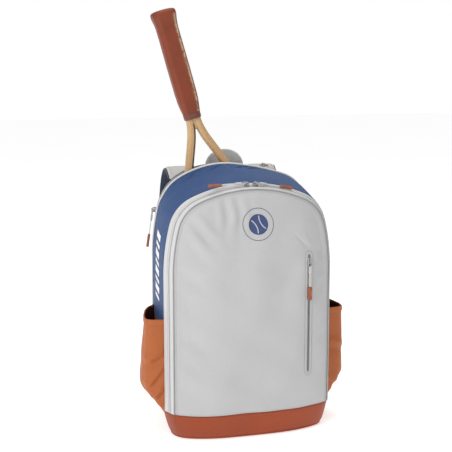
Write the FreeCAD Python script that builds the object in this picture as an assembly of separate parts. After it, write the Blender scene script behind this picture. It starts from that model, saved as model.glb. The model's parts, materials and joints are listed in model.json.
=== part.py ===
import FreeCAD, Part
import math
import os

V = FreeCAD.Vector

# ---------------------------------------------------------------- driving dimensions (mm)
# +Z up, -Y front, origin at the middle of the flat foot.

BOOT_H = 48.0            # height of the base boot
SIDE_SEAM_Z = 210.0      # where the blue gusset meets the side panels
SHELL = 3.0              # padded fabric wall

# stations from front to back: (y, half width, top height)
FRONT = (-76.0, 141.0, 442.0)
POCKET_SEAM = (-50.0, 155.0, 451.0)
ZIP = (55.0, 152.0, 472.0)
BACK = (100.0, 140.0, 458.0)
BULGE = 28.0             # how far the front panel swells
PANEL_LEVELS = ((0.0, 0.0), (9.0, 12.0), (18.0, 36.0), (24.5, 70.0), (BULGE, 104.0))

# the arch: side arc, corner arc and top arc are tangent to each other
SIDE_TURN = 14.0
CORNER_TURN = 52.0
SIDE_RADIUS = 2.40       # of the half width
CORNER_RADIUS = 0.455    # of the half width

# stretch of the main zip that stands open
OPEN_LEFT_X = -138.0
OPEN_RIGHT_X = 56.0
OPEN_FRONT_Y = 40.0
OPEN_REAR_Y = 80.0
OPEN_FROM_Z = 400.0

CLOTH_GAP = 0.3          # trim stands this far off the wall it is sewn to
TAPE = 0.8
COIL_W = 3.4
COIL_H = 1.8
ZIP_W = 9.0
FRONT_ZIP_Y = -64.0

POCKET_WALL = 2.0
POCKET_FRONT_Y = -50.0
POCKET_REAR_Y = 44.0
POCKET_MID_Y = -16.0
POCKET_LEVELS = ((44.0, 158.0), (60.0, 168.0), (90.0, 184.0), (125.0, 186.0), (165.0, 184.0), (214.0, 181.0))
POCKET_HEM_Z = 206.0

UPRIGHT_ZIP_X = 98.0
UPRIGHT_ZIP_LOW = 113.0
UPRIGHT_ZIP_HIGH = 327.0
UPRIGHT_SINK = 1.2
UPRIGHT_STAND = 1.8

SLEEVE_Y = 22.0
SLEEVE_TOP = 380.0
SLEEVE_FLOOR = 84.0

STRAP_T = 12.0
# middle line of a shoulder strap: (x, y, z, width)
STRAP_LINE = (
    (76.0, 113.0, 436.0, 60.0),
    (76.0, 121.0, 452.0, 62.0),
    (77.0, 133.0, 460.0, 62.0),
    (78.0, 147.0, 456.0, 62.0),
    (80.0, 156.0, 438.0, 62.0),
    (83.0, 159.0, 400.0, 62.0),
    (89.0, 153.0, 330.0, 60.0),
    (95.0, 143.0, 260.0, 58.0),
    (99.0, 132.0, 205.0, 54.0),
    (101.0, 124.0, 168.0, 40.0),
)
WEB_W = 25.0
WEB_T = 1.8

RACKET_L = 685.0
RACKET_LEAN = 16.1
RACKET_TIP = V(61.0, 60.0, 94.0)
HEAD_HALF_L = 167.5
HEAD_HALF_W = 124.0
BEAM = 21.0
TUBE = 11.0
GRIP_L = 198.0

SLIDER_L = 10.0
SLIDER_W = 8.4
RING_Z = 5.6
RING_WIRE = 0.7
CORD_D = 2.2
CORD_L = 37.0
WHIPPING = (1.9, 13.0)   # radius and length of the bound end of the cord
TAG_L = 25.0


# ---------------------------------------------------------------- helpers
def save(shape, name):
    """Write one node."""
    shape.exportStep("parts/" + name + ".step")


def between(a, b, y):
    """Station between two stations, at depth y."""
    k = (y - a[0]) / (b[0] - a[0])
    return (y, a[1] + k * (b[1] - a[1]), a[2] + k * (b[2] - a[2]))


def arch_data(station):
    """Centres and radii of the arch: a list of (centre x, centre z, radius) for side, corner and top."""
    w, top = station[1], station[2]
    a1 = math.radians(SIDE_TURN)
    a12 = math.radians(SIDE_TURN + CORNER_TURN)
    rs = SIDE_RADIUS * w
    rc = CORNER_RADIUS * w
    rt = (w - rs * (1 - math.cos(a1)) - rc * (math.cos(a1) - math.cos(a12))) / math.cos(a12)
    rise = rs * math.sin(a1) + rc * (math.sin(a12) - math.sin(a1)) + rt * (1 - math.sin(a12))
    spring = top - rise
    corner = (w - rs + (rs - rc) * math.cos(a1), spring + (rs - rc) * math.sin(a1))
    return [(w - rs, spring, rs), (corner[0], corner[1], rc), (0.0, top - rt, rt)]


def arch_wire(station, inset=0.0, bottom=BOOT_H):
    """Closed arch outline at the station's depth, moved inwards by inset."""
    y = station[0]
    side, corner, crown = arch_data(station)
    turns = (0.0, SIDE_TURN, SIDE_TURN + CORNER_TURN, 90.0)

    def spot(arc, degrees, hand):
        r = arc[2] - inset
        a = math.radians(degrees)
        return V(hand * (arc[0] + r * math.cos(a)), y, arc[1] + r * math.sin(a))

    edges = []
    low_right = V(station[1] - inset, y, bottom)
    low_left = V(inset - station[1], y, bottom)
    edges.append(Part.LineSegment(low_right, spot(side, 0.0, 1)).toShape())
    for hand in (1, -1):
        arcs = []
        for arc, start, stop in zip((side, corner), turns[0:2], turns[1:3]):
            middle = spot(arc, 0.5 * (start + stop), hand)
            arcs.append(Part.Arc(spot(arc, start, hand), middle, spot(arc, stop, hand)).toShape())
        if hand == 1:
            edges += arcs
            top_mid = spot(crown, 90.0, 1)
            edges.append(Part.Arc(spot(crown, turns[2], 1), top_mid, spot(crown, turns[2], -1)).toShape())
        else:
            edges += arcs[::-1]
    edges.append(Part.LineSegment(spot(side, 0.0, -1), low_left).toShape())
    edges.append(Part.LineSegment(low_left, low_right).toShape())
    return Part.Wire(Part.__sortEdges__(edges))


def arch_loft(stations, inset=0.0, bottom=BOOT_H):
    """Solid through the arch outlines of several stations."""
    return Part.makeLoft([arch_wire(s, inset, bottom) for s in stations], True, True)


def arch_band(stations, outer=0.0, inner=SHELL, bottom=BOOT_H):
    """Open arch wall between two insets."""
    return arch_loft(stations, outer, bottom).cut(arch_loft(stations, inner, bottom - 5.0))


def block(x0, x1, y0, y1, z0, z1):
    """Box from its limits."""
    return Part.makeBox(x1 - x0, y1 - y0, z1 - z0, V(x0, y0, z0))


def above(z):
    return block(-400, 400, -400, 400, z, 1200)


def below(z):
    return block(-400, 400, -400, 400, -300, z)


def plan_wire(z, inset):
    """Plan outline of the foot: swollen front, slanted corners, straight sides and back."""
    front_y = FRONT[0] + inset
    front_x = FRONT[1] - inset
    left = V(-front_x, front_y, z)
    right = V(front_x, front_y, z)
    points = [
        right,
        V(POCKET_SEAM[1] - inset, POCKET_SEAM[0], z),
        V(ZIP[1] - inset, ZIP[0], z),
        V(BACK[1] - inset, BACK[0] - inset, z),
        V(inset - BACK[1], BACK[0] - inset, z),
        V(inset - ZIP[1], ZIP[0], z),
        V(inset - POCKET_SEAM[1], POCKET_SEAM[0], z),
        left,
    ]
    edges = [Part.Arc(left, V(0, front_y - BULGE, z), right).toShape()]
    for a, b in zip(points[:-1], points[1:]):
        edges.append(Part.LineSegment(a, b).toShape())
    return Part.Wire(edges)


def plan_loft(levels):
    """Solid through plan outlines at (z, inset)."""
    return Part.makeLoft([plan_wire(z, inset) for z, inset in levels], True, True)


def slab_loft(line, thickness, hand=1):
    """Flat strap through (x, y, z, width) stations that lie in planes parallel to X."""
    wires = []
    for i, (x, y, z, width) in enumerate(line):
        before = line[max(i - 1, 0)]
        after = line[min(i + 1, len(line) - 1)]
        dy, dz = after[1] - before[1], after[2] - before[2]
        size = math.hypot(dy, dz)
        ny, nz = -dz / size, dy / size
        half = 0.5 * thickness
        corners = []
        for sx, sn in ((-1, -1), (1, -1), (1, 1), (-1, 1)):
            cx = hand * (x + sx * 0.5 * width)
            corners.append(V(cx, y + sn * half * ny, z + sn * half * nz))
        wires.append(Part.makePolygon(corners + corners[:1]))
    return Part.makeLoft(wires, True, True)


# ---------------------------------------------------------------- foot
def make_foot():
    outer = plan_loft(((0.0, 9.0), (12.0, 2.0), (BOOT_H, 0.0)))
    hollow = plan_loft(((SHELL, 12.0), (14.0, 2.0 + SHELL), (BOOT_H, SHELL)))
    panel = plan_loft(((0.0, 14.0), (SHELL, 14.0)))
    save(outer.cut(hollow).cut(panel), "base_boot")
    save(panel, "base_panel")
    save(plan_loft(((SHELL, 15.0), (SHELL + 2.5, 15.0))), "base_board")


# ---------------------------------------------------------------- main compartment
def open_stretch(y0, y1):
    """Space over the open part of the main zip."""
    return block(OPEN_LEFT_X, OPEN_RIGHT_X, y0, y1, OPEN_FROM_Z, 600)


def make_main():
    front_band = arch_band((POCKET_SEAM, ZIP))
    front_band = front_band.cut(open_stretch(OPEN_FRONT_Y, ZIP[0] + 1))
    save(front_band.common(above(SIDE_SEAM_Z)), "main_gusset_front")
    sides = front_band.common(below(SIDE_SEAM_Z))
    for name, x0, x1 in (("left", -300, 0), ("right", 0, 300)):
        save(sides.common(block(x0, x1, -300, 300, -10, 600)), "side_panel_" + name)
    rear_band = arch_band((ZIP, BACK))
    rear_band = rear_band.cut(open_stretch(ZIP[0] - 1, OPEN_REAR_Y))
    save(rear_band, "main_gusset_rear")

    seam_y, seam_w, seam_top = POCKET_SEAM
    wall = ((seam_y - 2.0, seam_w, seam_top), POCKET_SEAM)
    save(arch_loft(wall, SHELL), "pocket_divider")

    zip_y = ZIP[0]
    piping = ((zip_y - 8.0,) + ZIP[1:], (zip_y - 5.5,) + ZIP[1:])
    save(arch_band(piping, -2.7, -CLOTH_GAP), "main_piping")
    tape = ((zip_y - 0.5 * ZIP_W,) + ZIP[1:], (zip_y + 0.5 * ZIP_W,) + ZIP[1:])
    coil = ((zip_y - 0.5 * COIL_W,) + ZIP[1:], (zip_y + 0.5 * COIL_W,) + ZIP[1:])
    main_zip = arch_band(tape, -TAPE - CLOTH_GAP, -CLOTH_GAP, 140.0)
    main_zip = main_zip.fuse(arch_band(coil, -COIL_H, -CLOTH_GAP, 140.0))
    save(main_zip.cut(open_stretch(0, 200)), "main_zip")


def make_sleeve():
    """Padded sleeve that keeps the racket off the rest of the load, with a raised floor."""
    inner = arch_loft(((SLEEVE_Y - 2.5,) + ZIP[1:], (BACK[0] - 12.0, BACK[1], BACK[2])), SHELL + 3.0)
    wall = block(-300, 300, SLEEVE_Y - 2.5, SLEEVE_Y + 2.5, SLEEVE_FLOOR - 6.0, SLEEVE_TOP)
    floor = block(-300, 300, SLEEVE_Y, BACK[0] - 13.0, SLEEVE_FLOOR - 6.0, SLEEVE_FLOOR)
    save(wall.fuse(floor).removeSplitter().common(inner), "racket_sleeve")


# ---------------------------------------------------------------- back
def make_back():
    y = BACK[0]
    panel = arch_loft((BACK, (y + 3.0,) + BACK[1:]), 0.0, 2.0)
    save(panel, "back_panel")
    stiff = arch_loft(((y - 3.0, 130.0, 440.0), (y - 1.0, 130.0, 440.0)), 0.0, 60.0)
    save(stiff, "back_stiffener")
    for name, hand in (("left", -1), ("right", 1)):
        x0, x1 = sorted((hand * 18.0, hand * 112.0))
        pad = block(x0, x1, y + 3.0, y + 12.0, 175.0, 408.0)
        pad = pad.makeFillet(4.0, [e for e in pad.Edges if e.BoundBox.YMin > y + 11.0])
        save(pad, "back_pad_" + name)
    lumbar = block(-82.0, 82.0, y + 3.0, y + 14.0, 78.0, 160.0)
    lumbar = lumbar.makeFillet(4.0, [e for e in lumbar.Edges if e.BoundBox.YMin > y + 13.0])
    save(lumbar, "lumbar_pad")
    save(block(-112.0, 112.0, y + 3.0, y + 4.5, 420.0, 444.0), "strap_yoke")
    anchors = []
    for hand in (-1, 1):
        near, far = hand * 104.0, hand * 138.0
        outline = [V(far, y + 3.0, 62.0), V(far, y + 3.0, 28.0), V(near, y + 3.0, 62.0)]
        face = Part.Face(Part.makePolygon(outline + outline[:1]))
        anchors.append(face.extrude(V(0, 3.0, 0)))
    save(Part.makeCompound(anchors), "strap_anchors")


# ---------------------------------------------------------------- front pocket
# (depth forward of the piping, inset) of the swollen panel


def front_loft(wall):
    """Swollen front, moved inwards by the wall."""
    wires = []
    for depth, inset in PANEL_LEVELS:
        drop = inset + wall
        wires.append(arch_wire((FRONT[0] - depth + wall, FRONT[1] - drop, FRONT[2] - drop)))
    return Part.makeLoft(wires, True, True)


def slope_band(y0, y1, out, inn):
    """Band that follows the slope of the front pocket's gusset."""
    ends = (between(FRONT, POCKET_SEAM, y0), between(FRONT, POCKET_SEAM, y1))
    return arch_band(ends, out, inn)


def make_front_pocket():
    gusset = arch_band((FRONT, (POCKET_SEAM[0] - 2.0,) + between(FRONT, POCKET_SEAM, -52.0)[1:]), 0.0, 2.2)
    save(gusset, "front_pocket_gusset")
    skin = front_loft(0.0).cut(front_loft(2.6))
    slot = block(UPRIGHT_ZIP_X - 3, UPRIGHT_ZIP_X + 3, -200, -60, UPRIGHT_ZIP_LOW, UPRIGHT_ZIP_HIGH)
    save(skin.cut(slot), "front_panel")
    rim = ((FRONT[0] - 2.5,) + FRONT[1:], FRONT)
    save(arch_band(rim, -2.0, 0.0), "front_panel_piping")
    half = 0.5 * ZIP_W
    tape = slope_band(FRONT_ZIP_Y - half, FRONT_ZIP_Y + half, -TAPE, 0.0)
    coil = slope_band(FRONT_ZIP_Y - 0.5 * COIL_W, FRONT_ZIP_Y + 0.5 * COIL_W, -COIL_H, 0.0)
    save(tape.fuse(coil), "front_zip")


def panel_y(x):
    """Depth of the front panel's face at x, away from the arch."""
    levels = [(FRONT[1] - inset, FRONT[0] - depth) for depth, inset in PANEL_LEVELS]
    for (x_out, y_out), (x_in, y_in) in zip(levels[:-1], levels[1:]):
        if x_in <= x <= x_out:
            return y_out + (y_in - y_out) * (x_out - x) / (x_out - x_in)
    return levels[-1][1]


def make_upright_pocket():
    low, high = UPRIGHT_ZIP_LOW, UPRIGHT_ZIP_HIGH
    y_zip = panel_y(UPRIGHT_ZIP_X) + UPRIGHT_SINK
    tape = block(UPRIGHT_ZIP_X - 2.8, UPRIGHT_ZIP_X + 2.8, y_zip, y_zip + 0.8, low + 0.5, high - 0.5)
    coil = block(UPRIGHT_ZIP_X - 1.3, UPRIGHT_ZIP_X + 1.3, y_zip - 0.7, y_zip, low + 2.0, high - 2.0)
    save(tape.fuse(coil), "upright_zip")
    x0, x1 = UPRIGHT_ZIP_X - 60.0, UPRIGHT_ZIP_X + 4.0
    bag = block(x0, x1, -78.0, -70.0, low - 6.0, high)
    save(bag.cut(block(x0 + 1, x1 - 1, -77.0, -71.0, low - 5.0, high - 1.0)), "upright_pocket_lining")
    return y_zip


# ---------------------------------------------------------------- side pockets
def pocket_loft(hand, shrink, top_extra=0.0):
    wires = []
    for i, (z, out) in enumerate(POCKET_LEVELS):
        level = z + (shrink * 1.5 if i == 0 else 0.0)
        level += top_extra if i == len(POCKET_LEVELS) - 1 else 0.0
        root = 148.0
        a = V(hand * root, POCKET_FRONT_Y + shrink, level)
        m = V(hand * (out - shrink), POCKET_MID_Y, level)
        b = V(hand * root, POCKET_REAR_Y - shrink, level)
        wires.append(Part.Wire([Part.Arc(a, m, b).toShape(), Part.LineSegment(b, a).toShape()]))
    return Part.makeLoft(wires, True, True)


def make_side_pockets():
    body = arch_loft((FRONT, POCKET_SEAM, ZIP, BACK), 0.0, BOOT_H)
    foot = plan_loft(((0.0, 9.0), (12.0, 2.0), (BOOT_H, 0.0)))
    hems = []
    for name, hand in (("left", -1), ("right", 1)):
        shell = pocket_loft(hand, 0.0).cut(pocket_loft(hand, POCKET_WALL, 5.0))
        shell = shell.cut(body).cut(foot)
        save(shell.common(below(POCKET_HEM_Z)), "side_pocket_" + name)
        hem = pocket_loft(hand, -0.6).cut(pocket_loft(hand, POCKET_WALL + 0.6, 5.0))
        hems.append(hem.cut(body).common(above(POCKET_HEM_Z)))
    save(Part.makeCompound(hems), "pocket_hems")


# ---------------------------------------------------------------- carrying parts
def make_straps():
    for name, hand in (("left", -1), ("right", 1)):
        save(slab_loft(STRAP_LINE, STRAP_T, hand), "shoulder_strap_" + name)
        x, y, z, _ = STRAP_LINE[-1]
        frame = block(-19.0, 19.0, -2.5, 2.5, -14.0, 14.0)
        for z0 in (-9.5, -1.5, 5.5):
            frame = frame.cut(block(-13.5, 13.5, -5.0, 5.0, z0, z0 + 4.0))
        frame.rotate(V(0, 0, 0), V(1, 0, 0), -12.0)
        frame.translate(V(hand * x, y - 3.2, z - 15.5))
        save(frame, "strap_lock_" + name)
        web = (
            (x, y - 9.0, z - 12.0, WEB_W),
            (x + 6.0, 113.5, 112.0, WEB_W),
            (x + 16.0, 107.8, 52.0, WEB_W),
        )
        tail = (
            (x, y + 1.5, z - 24.0, WEB_W),
            (x + 1.0, y + 4.0, 110.0, WEB_W),
            (x + 2.0, y + 2.0, 66.0, WEB_W),
        )
        pieces = [slab_loft(web, WEB_T, hand), slab_loft(tail, WEB_T, hand)]
        save(Part.makeCompound(pieces), "strap_web_" + name)


def make_handle():
    """Webbing loop that stands up behind the top seam."""
    y = BACK[0] + 5.0
    foot_z = 447.0

    def loop(half, top, low):
        a, b = V(-half, y, low), V(half, y, low)
        shoulder = 0.62 * top + 0.38 * low
        left, right = V(-half, y, shoulder), V(half, y, shoulder)
        edges = [
            Part.LineSegment(a, left).toShape(),
            Part.Arc(left, V(0, y, top), right).toShape(),
            Part.LineSegment(right, b).toShape(),
            Part.LineSegment(b, a).toShape(),
        ]
        return Part.Face(Part.Wire(edges)).extrude(V(0, 4.5, 0))

    save(loop(35.0, 497.0, foot_z).cut(loop(21.0, 478.0, foot_z - 5.0)), "grab_handle")


# ---------------------------------------------------------------- racket
def place_racket(shape):
    shape.rotate(V(0, 0, 0), V(0, 1, 0), -RACKET_LEAN)
    shape.translate(RACKET_TIP)
    return shape


def oval_prism(half_l, half_w, depth):
    """Flat oval standing in the XZ plane, centred where the middle of the head goes."""
    curve = Part.Ellipse(V(0, 0, 0), half_l, half_w)
    face = Part.Face(Part.Wire(curve.toShape()))
    solid = face.extrude(V(0, 0, depth))
    solid.translate(V(0, 0, -0.5 * depth))
    solid.rotate(V(0, 0, 0), V(0, 0, 1), 90)
    solid.rotate(V(0, 0, 0), V(1, 0, 0), 90)
    solid.translate(V(0, 0, HEAD_HALF_L))
    return solid


def grip_section(z, across, through):
    """Eight sided handle outline."""
    a, b = 0.5 * across, 0.5 * through
    cx, cy = 0.42 * a, 0.42 * b
    points = [V(a, -cy, z), V(a, cy, z), V(cx, b, z), V(-cx, b, z)]
    points += [V(-a, cy, z), V(-a, -cy, z), V(-cx, -b, z), V(cx, -b, z)]
    return Part.makePolygon(points + points[:1])


def make_racket():
    hoop = oval_prism(HEAD_HALF_L, HEAD_HALF_W, BEAM).cut(
        oval_prism(HEAD_HALF_L - TUBE, HEAD_HALF_W - TUBE, BEAM + 2))
    grip_low = RACKET_L - GRIP_L
    arm_line = (
        (6.5, grip_low - 22.0),
        (12.0, grip_low - 38.0),
        (31.0, 406.0),
        (50.0, 356.0),
        (64.0, 318.0),
        (77.0, 290.0),
    )
    frame = hoop
    for hand in (-1, 1):
        wires = []
        for x, z in arm_line:
            half = 0.5 * TUBE + 1.0
            xs = (hand * (x - half), hand * (x + half))
            corners = [V(xs[0], -9, z), V(xs[1], -9, z), V(xs[1], 9, z), V(xs[0], 9, z)]
            wires.append(Part.makePolygon(corners + corners[:1]))
        frame = frame.fuse(Part.makeLoft(wires, True, True))
    shaft = block(-12.5, 12.5, -9.0, 9.0, grip_low - 26.0, grip_low)
    save(place_racket(frame.fuse(shaft)), "racket_frame")

    collar_ends = [grip_section(grip_low, 28.0, 26.0), grip_section(grip_low + 9.0, 29.5, 27.5)]
    collar = Part.makeLoft(collar_ends, True, True)
    save(place_racket(collar), "racket_collar")
    cap_low = RACKET_L - 13.0
    sections = ((grip_low + 9.0, 28.0, 26.5), (grip_low + 80.0, 31.5, 29.0), (cap_low - 24.0, 33.0, 30.5))
    wires = [grip_section(*s) for s in sections] + [grip_section(cap_low, 40.0, 36.0)]
    save(place_racket(Part.makeLoft(wires, True, True)), "racket_grip")
    cap = Part.makeLoft([grip_section(cap_low, 42.0, 38.0), grip_section(RACKET_L, 40.0, 36.0)], True, True)
    save(place_racket(cap), "racket_butt_cap")

    inner_l, inner_w = HEAD_HALF_L - TUBE, HEAD_HALF_W - TUBE
    strings = []
    mains, crosses = 16, 19
    for i in range(mains):
        x = (i - 0.5 * (mains - 1)) * 12.5
        half = inner_l * math.sqrt(1 - (x / inner_w) ** 2) - 0.6
        strings.append(Part.makeCylinder(0.65, 2 * half, V(x, -0.8, HEAD_HALF_L - half), V(0, 0, 1)))
    for i in range(crosses):
        z = (i - 0.5 * (crosses - 1)) * 15.0
        half = inner_w * math.sqrt(1 - (z / inner_l) ** 2) - 0.6
        strings.append(Part.makeCylinder(0.65, 2 * half, V(-half, 0.8, HEAD_HALF_L + z), V(1, 0, 0)))
    save(place_racket(Part.makeCompound(strings)), "racket_strings")

    guard = oval_prism(HEAD_HALF_L + 2.0, HEAD_HALF_W + 2.0, 12.0).cut(
        oval_prism(HEAD_HALF_L, HEAD_HALF_W, 14.0))
    save(place_racket(guard.common(block(-90, 90, -20, 20, -10, 52))), "racket_bumper")


# ---------------------------------------------------------------- sliders and pulls
# Local frame: x along the zip, y across it, z away from the cloth.


def slider_shape():
    body = block(-0.5 * SLIDER_L, 0.5 * SLIDER_L, -0.5 * SLIDER_W, 0.5 * SLIDER_W, 0.5, 3.4)
    body = body.makeFillet(1.0, [e for e in body.Edges if abs(e.BoundBox.ZLength) > 1.0])
    bail = block(-3.4, 3.4, -1.0, 1.0, 3.4, 8.0)
    window = block(-2.2, 2.2, -2.0, 2.0, 3.4, 6.9)
    return body.fuse(bail.cut(window))


def pull_shapes(droop, turn):
    """Wire loop with its cord, and the tag, lying along +x from the bail.

    The cord and the tag turn sideways at the bound end, and everything droops at the bail.
    """
    wire = RING_WIRE
    reach, half = 9.0, 3.6
    pieces = [
        Part.makeCylinder(wire, 2 * half, V(0, -half, RING_Z), V(0, 1, 0)),
        Part.makeCylinder(wire, 2 * half, V(reach, -half, RING_Z), V(0, 1, 0)),
        Part.makeCylinder(wire, reach, V(0, half, RING_Z), V(1, 0, 0)),
        Part.makeCylinder(wire, reach, V(0, -half, RING_Z), V(1, 0, 0)),
    ]
    bound = Part.makeCylinder(WHIPPING[0], WHIPPING[1], V(reach, 0, RING_Z), V(1, 0, 0))
    line = Part.makeCylinder(0.5 * CORD_D, CORD_L, V(reach, 0, RING_Z), V(1, 0, 0))
    start = reach + CORD_L
    half_w, waist, half_t = 4.6, 3.4, 1.5
    tag = block(start, start + TAG_L, -waist, waist, RING_Z - half_t, RING_Z + half_t)
    for x in (start + half_w, start + TAG_L - half_w):
        tag = tag.fuse(Part.makeCylinder(half_w, 2 * half_t, V(x, 0, RING_Z - half_t), V(0, 0, 1)))
    tag = tag.cut(Part.makeCylinder(0.5 * CORD_D + 0.05, 8.0, V(start - 4.0, 0, RING_Z), V(1, 0, 0)))
    for shape in (bound, line, tag):
        shape.rotate(V(reach, 0, RING_Z), V(0, 0, 1), turn)
    cord = pieces[0].multiFuse(pieces[1:] + [bound, line])
    for shape in (cord, tag):
        shape.rotate(V(0, 0, RING_Z), V(0, 1, 0), droop)
    return [cord, tag]


def set_on_arch(shape, station, arc_index, degrees, hand, tilt, lift):
    """Carry a local shape onto the arch: local x points down the arch on the given hand."""
    if hand < 0:
        shape.rotate(V(0, 0, 0), V(0, 0, 1), 180.0)
    arc = arch_data(station)[arc_index]
    a = math.radians(degrees)
    shape.rotate(V(0, 0, 0), V(1, 0, 0), tilt)
    shape.rotate(V(0, 0, 0), V(0, 1, 0), hand * (90.0 - degrees))
    r = arc[2] + lift
    shape.translate(V(hand * (arc[0] + r * math.cos(a)), station[0], arc[1] + r * math.sin(a)))
    return shape


def make_zip_pulls(y_zip):
    pocket_station = between(FRONT, POCKET_SEAM, FRONT_ZIP_Y)
    slope = -math.degrees(math.atan((POCKET_SEAM[2] - FRONT[2]) / (POCKET_SEAM[0] - FRONT[0])))
    places = (
        ("pocket_left", pocket_station, 2, 88.2, -1, -slope, 1.0, 0.0),
        ("pocket_right", pocket_station, 2, 88.2, 1, -slope, 5.0, 0.0),
        ("main_left", ZIP, 0, 12.4, -1, 0.0, 6.0, 0.0),
        ("main_right", ZIP, 2, 76.5, 1, 0.0, 6.0, 78.0),
    )
    for name, station, index, degrees, hand, tilt, droop, turn in places:
        shapes = [slider_shape()] + pull_shapes(droop, turn)
        for node, shape in zip(("slider_", "pull_cord_", "pull_tag_"), shapes):
            save(set_on_arch(shape, station, index, degrees, hand, tilt, COIL_H), node + name)
    shapes = [slider_shape()] + pull_shapes(0.0, 0.0)
    for node, shape in zip(("slider_", "pull_cord_", "pull_tag_"), shapes):
        shape.rotate(V(0, 0, 0), V(0, 1, 0), 90.0)
        shape.rotate(V(0, 0, 0), V(0, 0, 1), -90.0)
        shape.translate(V(UPRIGHT_ZIP_X, y_zip - UPRIGHT_STAND, UPRIGHT_ZIP_HIGH - 12.0))
        save(shape, node + "upright")


def main():
    os.makedirs("parts", exist_ok=True)
    make_foot()
    make_main()
    make_sleeve()
    make_back()
    make_front_pocket()
    y_zip = make_upright_pocket()
    make_side_pockets()
    make_straps()
    make_handle()
    make_racket()
    make_zip_pulls(y_zip)


main()
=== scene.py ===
import json
import math

import bmesh
import bpy
import numpy as np
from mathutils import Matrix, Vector


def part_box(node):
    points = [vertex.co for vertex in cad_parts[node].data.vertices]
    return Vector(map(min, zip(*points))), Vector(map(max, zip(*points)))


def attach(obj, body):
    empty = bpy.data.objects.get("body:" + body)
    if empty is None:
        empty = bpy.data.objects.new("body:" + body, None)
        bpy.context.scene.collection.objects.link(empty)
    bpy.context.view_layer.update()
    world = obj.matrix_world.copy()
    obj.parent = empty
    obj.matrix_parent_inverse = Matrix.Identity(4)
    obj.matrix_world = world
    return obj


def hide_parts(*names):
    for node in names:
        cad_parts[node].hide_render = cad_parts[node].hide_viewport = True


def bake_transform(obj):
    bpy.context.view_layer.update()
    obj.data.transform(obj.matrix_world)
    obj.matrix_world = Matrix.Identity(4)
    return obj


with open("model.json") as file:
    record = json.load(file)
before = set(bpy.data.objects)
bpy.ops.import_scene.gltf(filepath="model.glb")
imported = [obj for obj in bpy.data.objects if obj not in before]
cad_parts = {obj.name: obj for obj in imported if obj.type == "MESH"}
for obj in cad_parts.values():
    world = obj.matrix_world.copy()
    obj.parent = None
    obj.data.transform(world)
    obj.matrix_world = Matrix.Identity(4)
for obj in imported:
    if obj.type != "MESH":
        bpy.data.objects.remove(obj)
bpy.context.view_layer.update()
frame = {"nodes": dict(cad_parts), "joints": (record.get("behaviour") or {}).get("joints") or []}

bl_info = {
    "name": "Racket backpack",
    "version": (1, 0, 0),
    "blender": (4, 5, 0),
    "location": "View3D > Sidebar > Backpack",
    "description": "Builds the cloth, zips, straps and racket of a backpack round its fixed frame",
    "category": "Add Mesh",
}

MM = 0.001


def corners(node):
    """Lowest and highest corner of a CAD node as arrays."""
    low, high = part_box(node)
    return np.array(low), np.array(high)


# ---------------------------------------------------------------- stations read from the frame
PANEL_LOW, PANEL_HIGH = corners("front_panel")
GUSSET_LOW, GUSSET_HIGH = corners("main_gusset_front")
BACK_LOW, BACK_HIGH = corners("back_panel")
REAR_HIGH = corners("main_gusset_rear")[1]
DIVIDER_HIGH = corners("pocket_divider")[1]
HEM_TOP = corners("pocket_hems")[1][2]

BOOT_TOP = corners("base_boot")[1][2]
FRONT_Y = PANEL_HIGH[1]
SEAM_Y = GUSSET_LOW[1]
ZIP_Y = GUSSET_HIGH[1]
BACK_Y = BACK_LOW[1]
BULGE = FRONT_Y - PANEL_LOW[1]
STATION_Y = np.array([FRONT_Y, SEAM_Y, ZIP_Y, BACK_Y])
STATION_W = np.array([PANEL_HIGH[0] + 3 * MM, GUSSET_HIGH[0], REAR_HIGH[0], BACK_HIGH[0]])
STATION_TOP = np.array([PANEL_HIGH[2] + 1.5 * MM, DIVIDER_HIGH[2] + 3 * MM, GUSSET_HIGH[2], BACK_HIGH[2]])
FRONT_ZIP_Y = 0.5 * (corners("front_zip")[0][1] + corners("front_zip")[1][1])

# turns and radii of the arch, the radii as shares of its half width
SIDE_TURN = math.radians(14)
CORNER_END = math.radians(66)
SIDE_RADIUS = 2.40
CORNER_RADIUS = 0.455

# the foot: rounding at the floor, and how much narrower than the bag it is at the front and more at the back
FOOT_ROUND = 13 * MM
FOOT_FRONT = 0.91
FOOT_TAPER = 0.20
FOOT_CENTRE = np.array([0, 5 * MM, 0])

# heights where the main zip ends and where the side pockets begin
ZIP_FOOT = 140 * MM
POCKET_FOOT = 44 * MM

# a pull, along its length from the slider: where its cord leaves the ring, where its tag begins and how long
# the tag is; the bail that it turns about stands this high above the coil
BAIL = 5.6 * MM
KNEE = 9.0 * MM
TAG_START = 45.6 * MM
TAG_LENGTH = 25 * MM


# ---------------------------------------------------------------- sizes and colours a user may change
class BackpackSizes(bpy.types.PropertyGroup):
    """Sizes of the sewn details."""

    piping: bpy.props.FloatProperty(
        name="Piping", description="Radius of the piping cord", default=1.7 * MM, unit="LENGTH")
    tape: bpy.props.FloatProperty(
        name="Zip tape", description="Width of one side of the zip tape", default=6.0 * MM, unit="LENGTH")
    tooth: bpy.props.FloatProperty(
        name="Zip pitch", description="Distance between coil turns", default=1.6 * MM, unit="LENGTH")
    stitch: bpy.props.FloatProperty(
        name="Stitch", description="Distance between stitches", default=4.2 * MM, unit="LENGTH")
    wrinkle: bpy.props.FloatProperty(
        name="Wrinkles", description="Depth of the soft folds in the cloth", default=1.0, min=0, max=3,
        subtype="FACTOR")
    gape: bpy.props.FloatProperty(
        name="Gape", description="How far each edge of the open zip stands back", default=9.0 * MM,
        unit="LENGTH")


def colour_prop(name, value):
    return bpy.props.FloatVectorProperty(
        name=name, description="Base colour of the " + name.lower(), default=value, subtype="COLOR", min=0,
        max=1)


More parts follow.
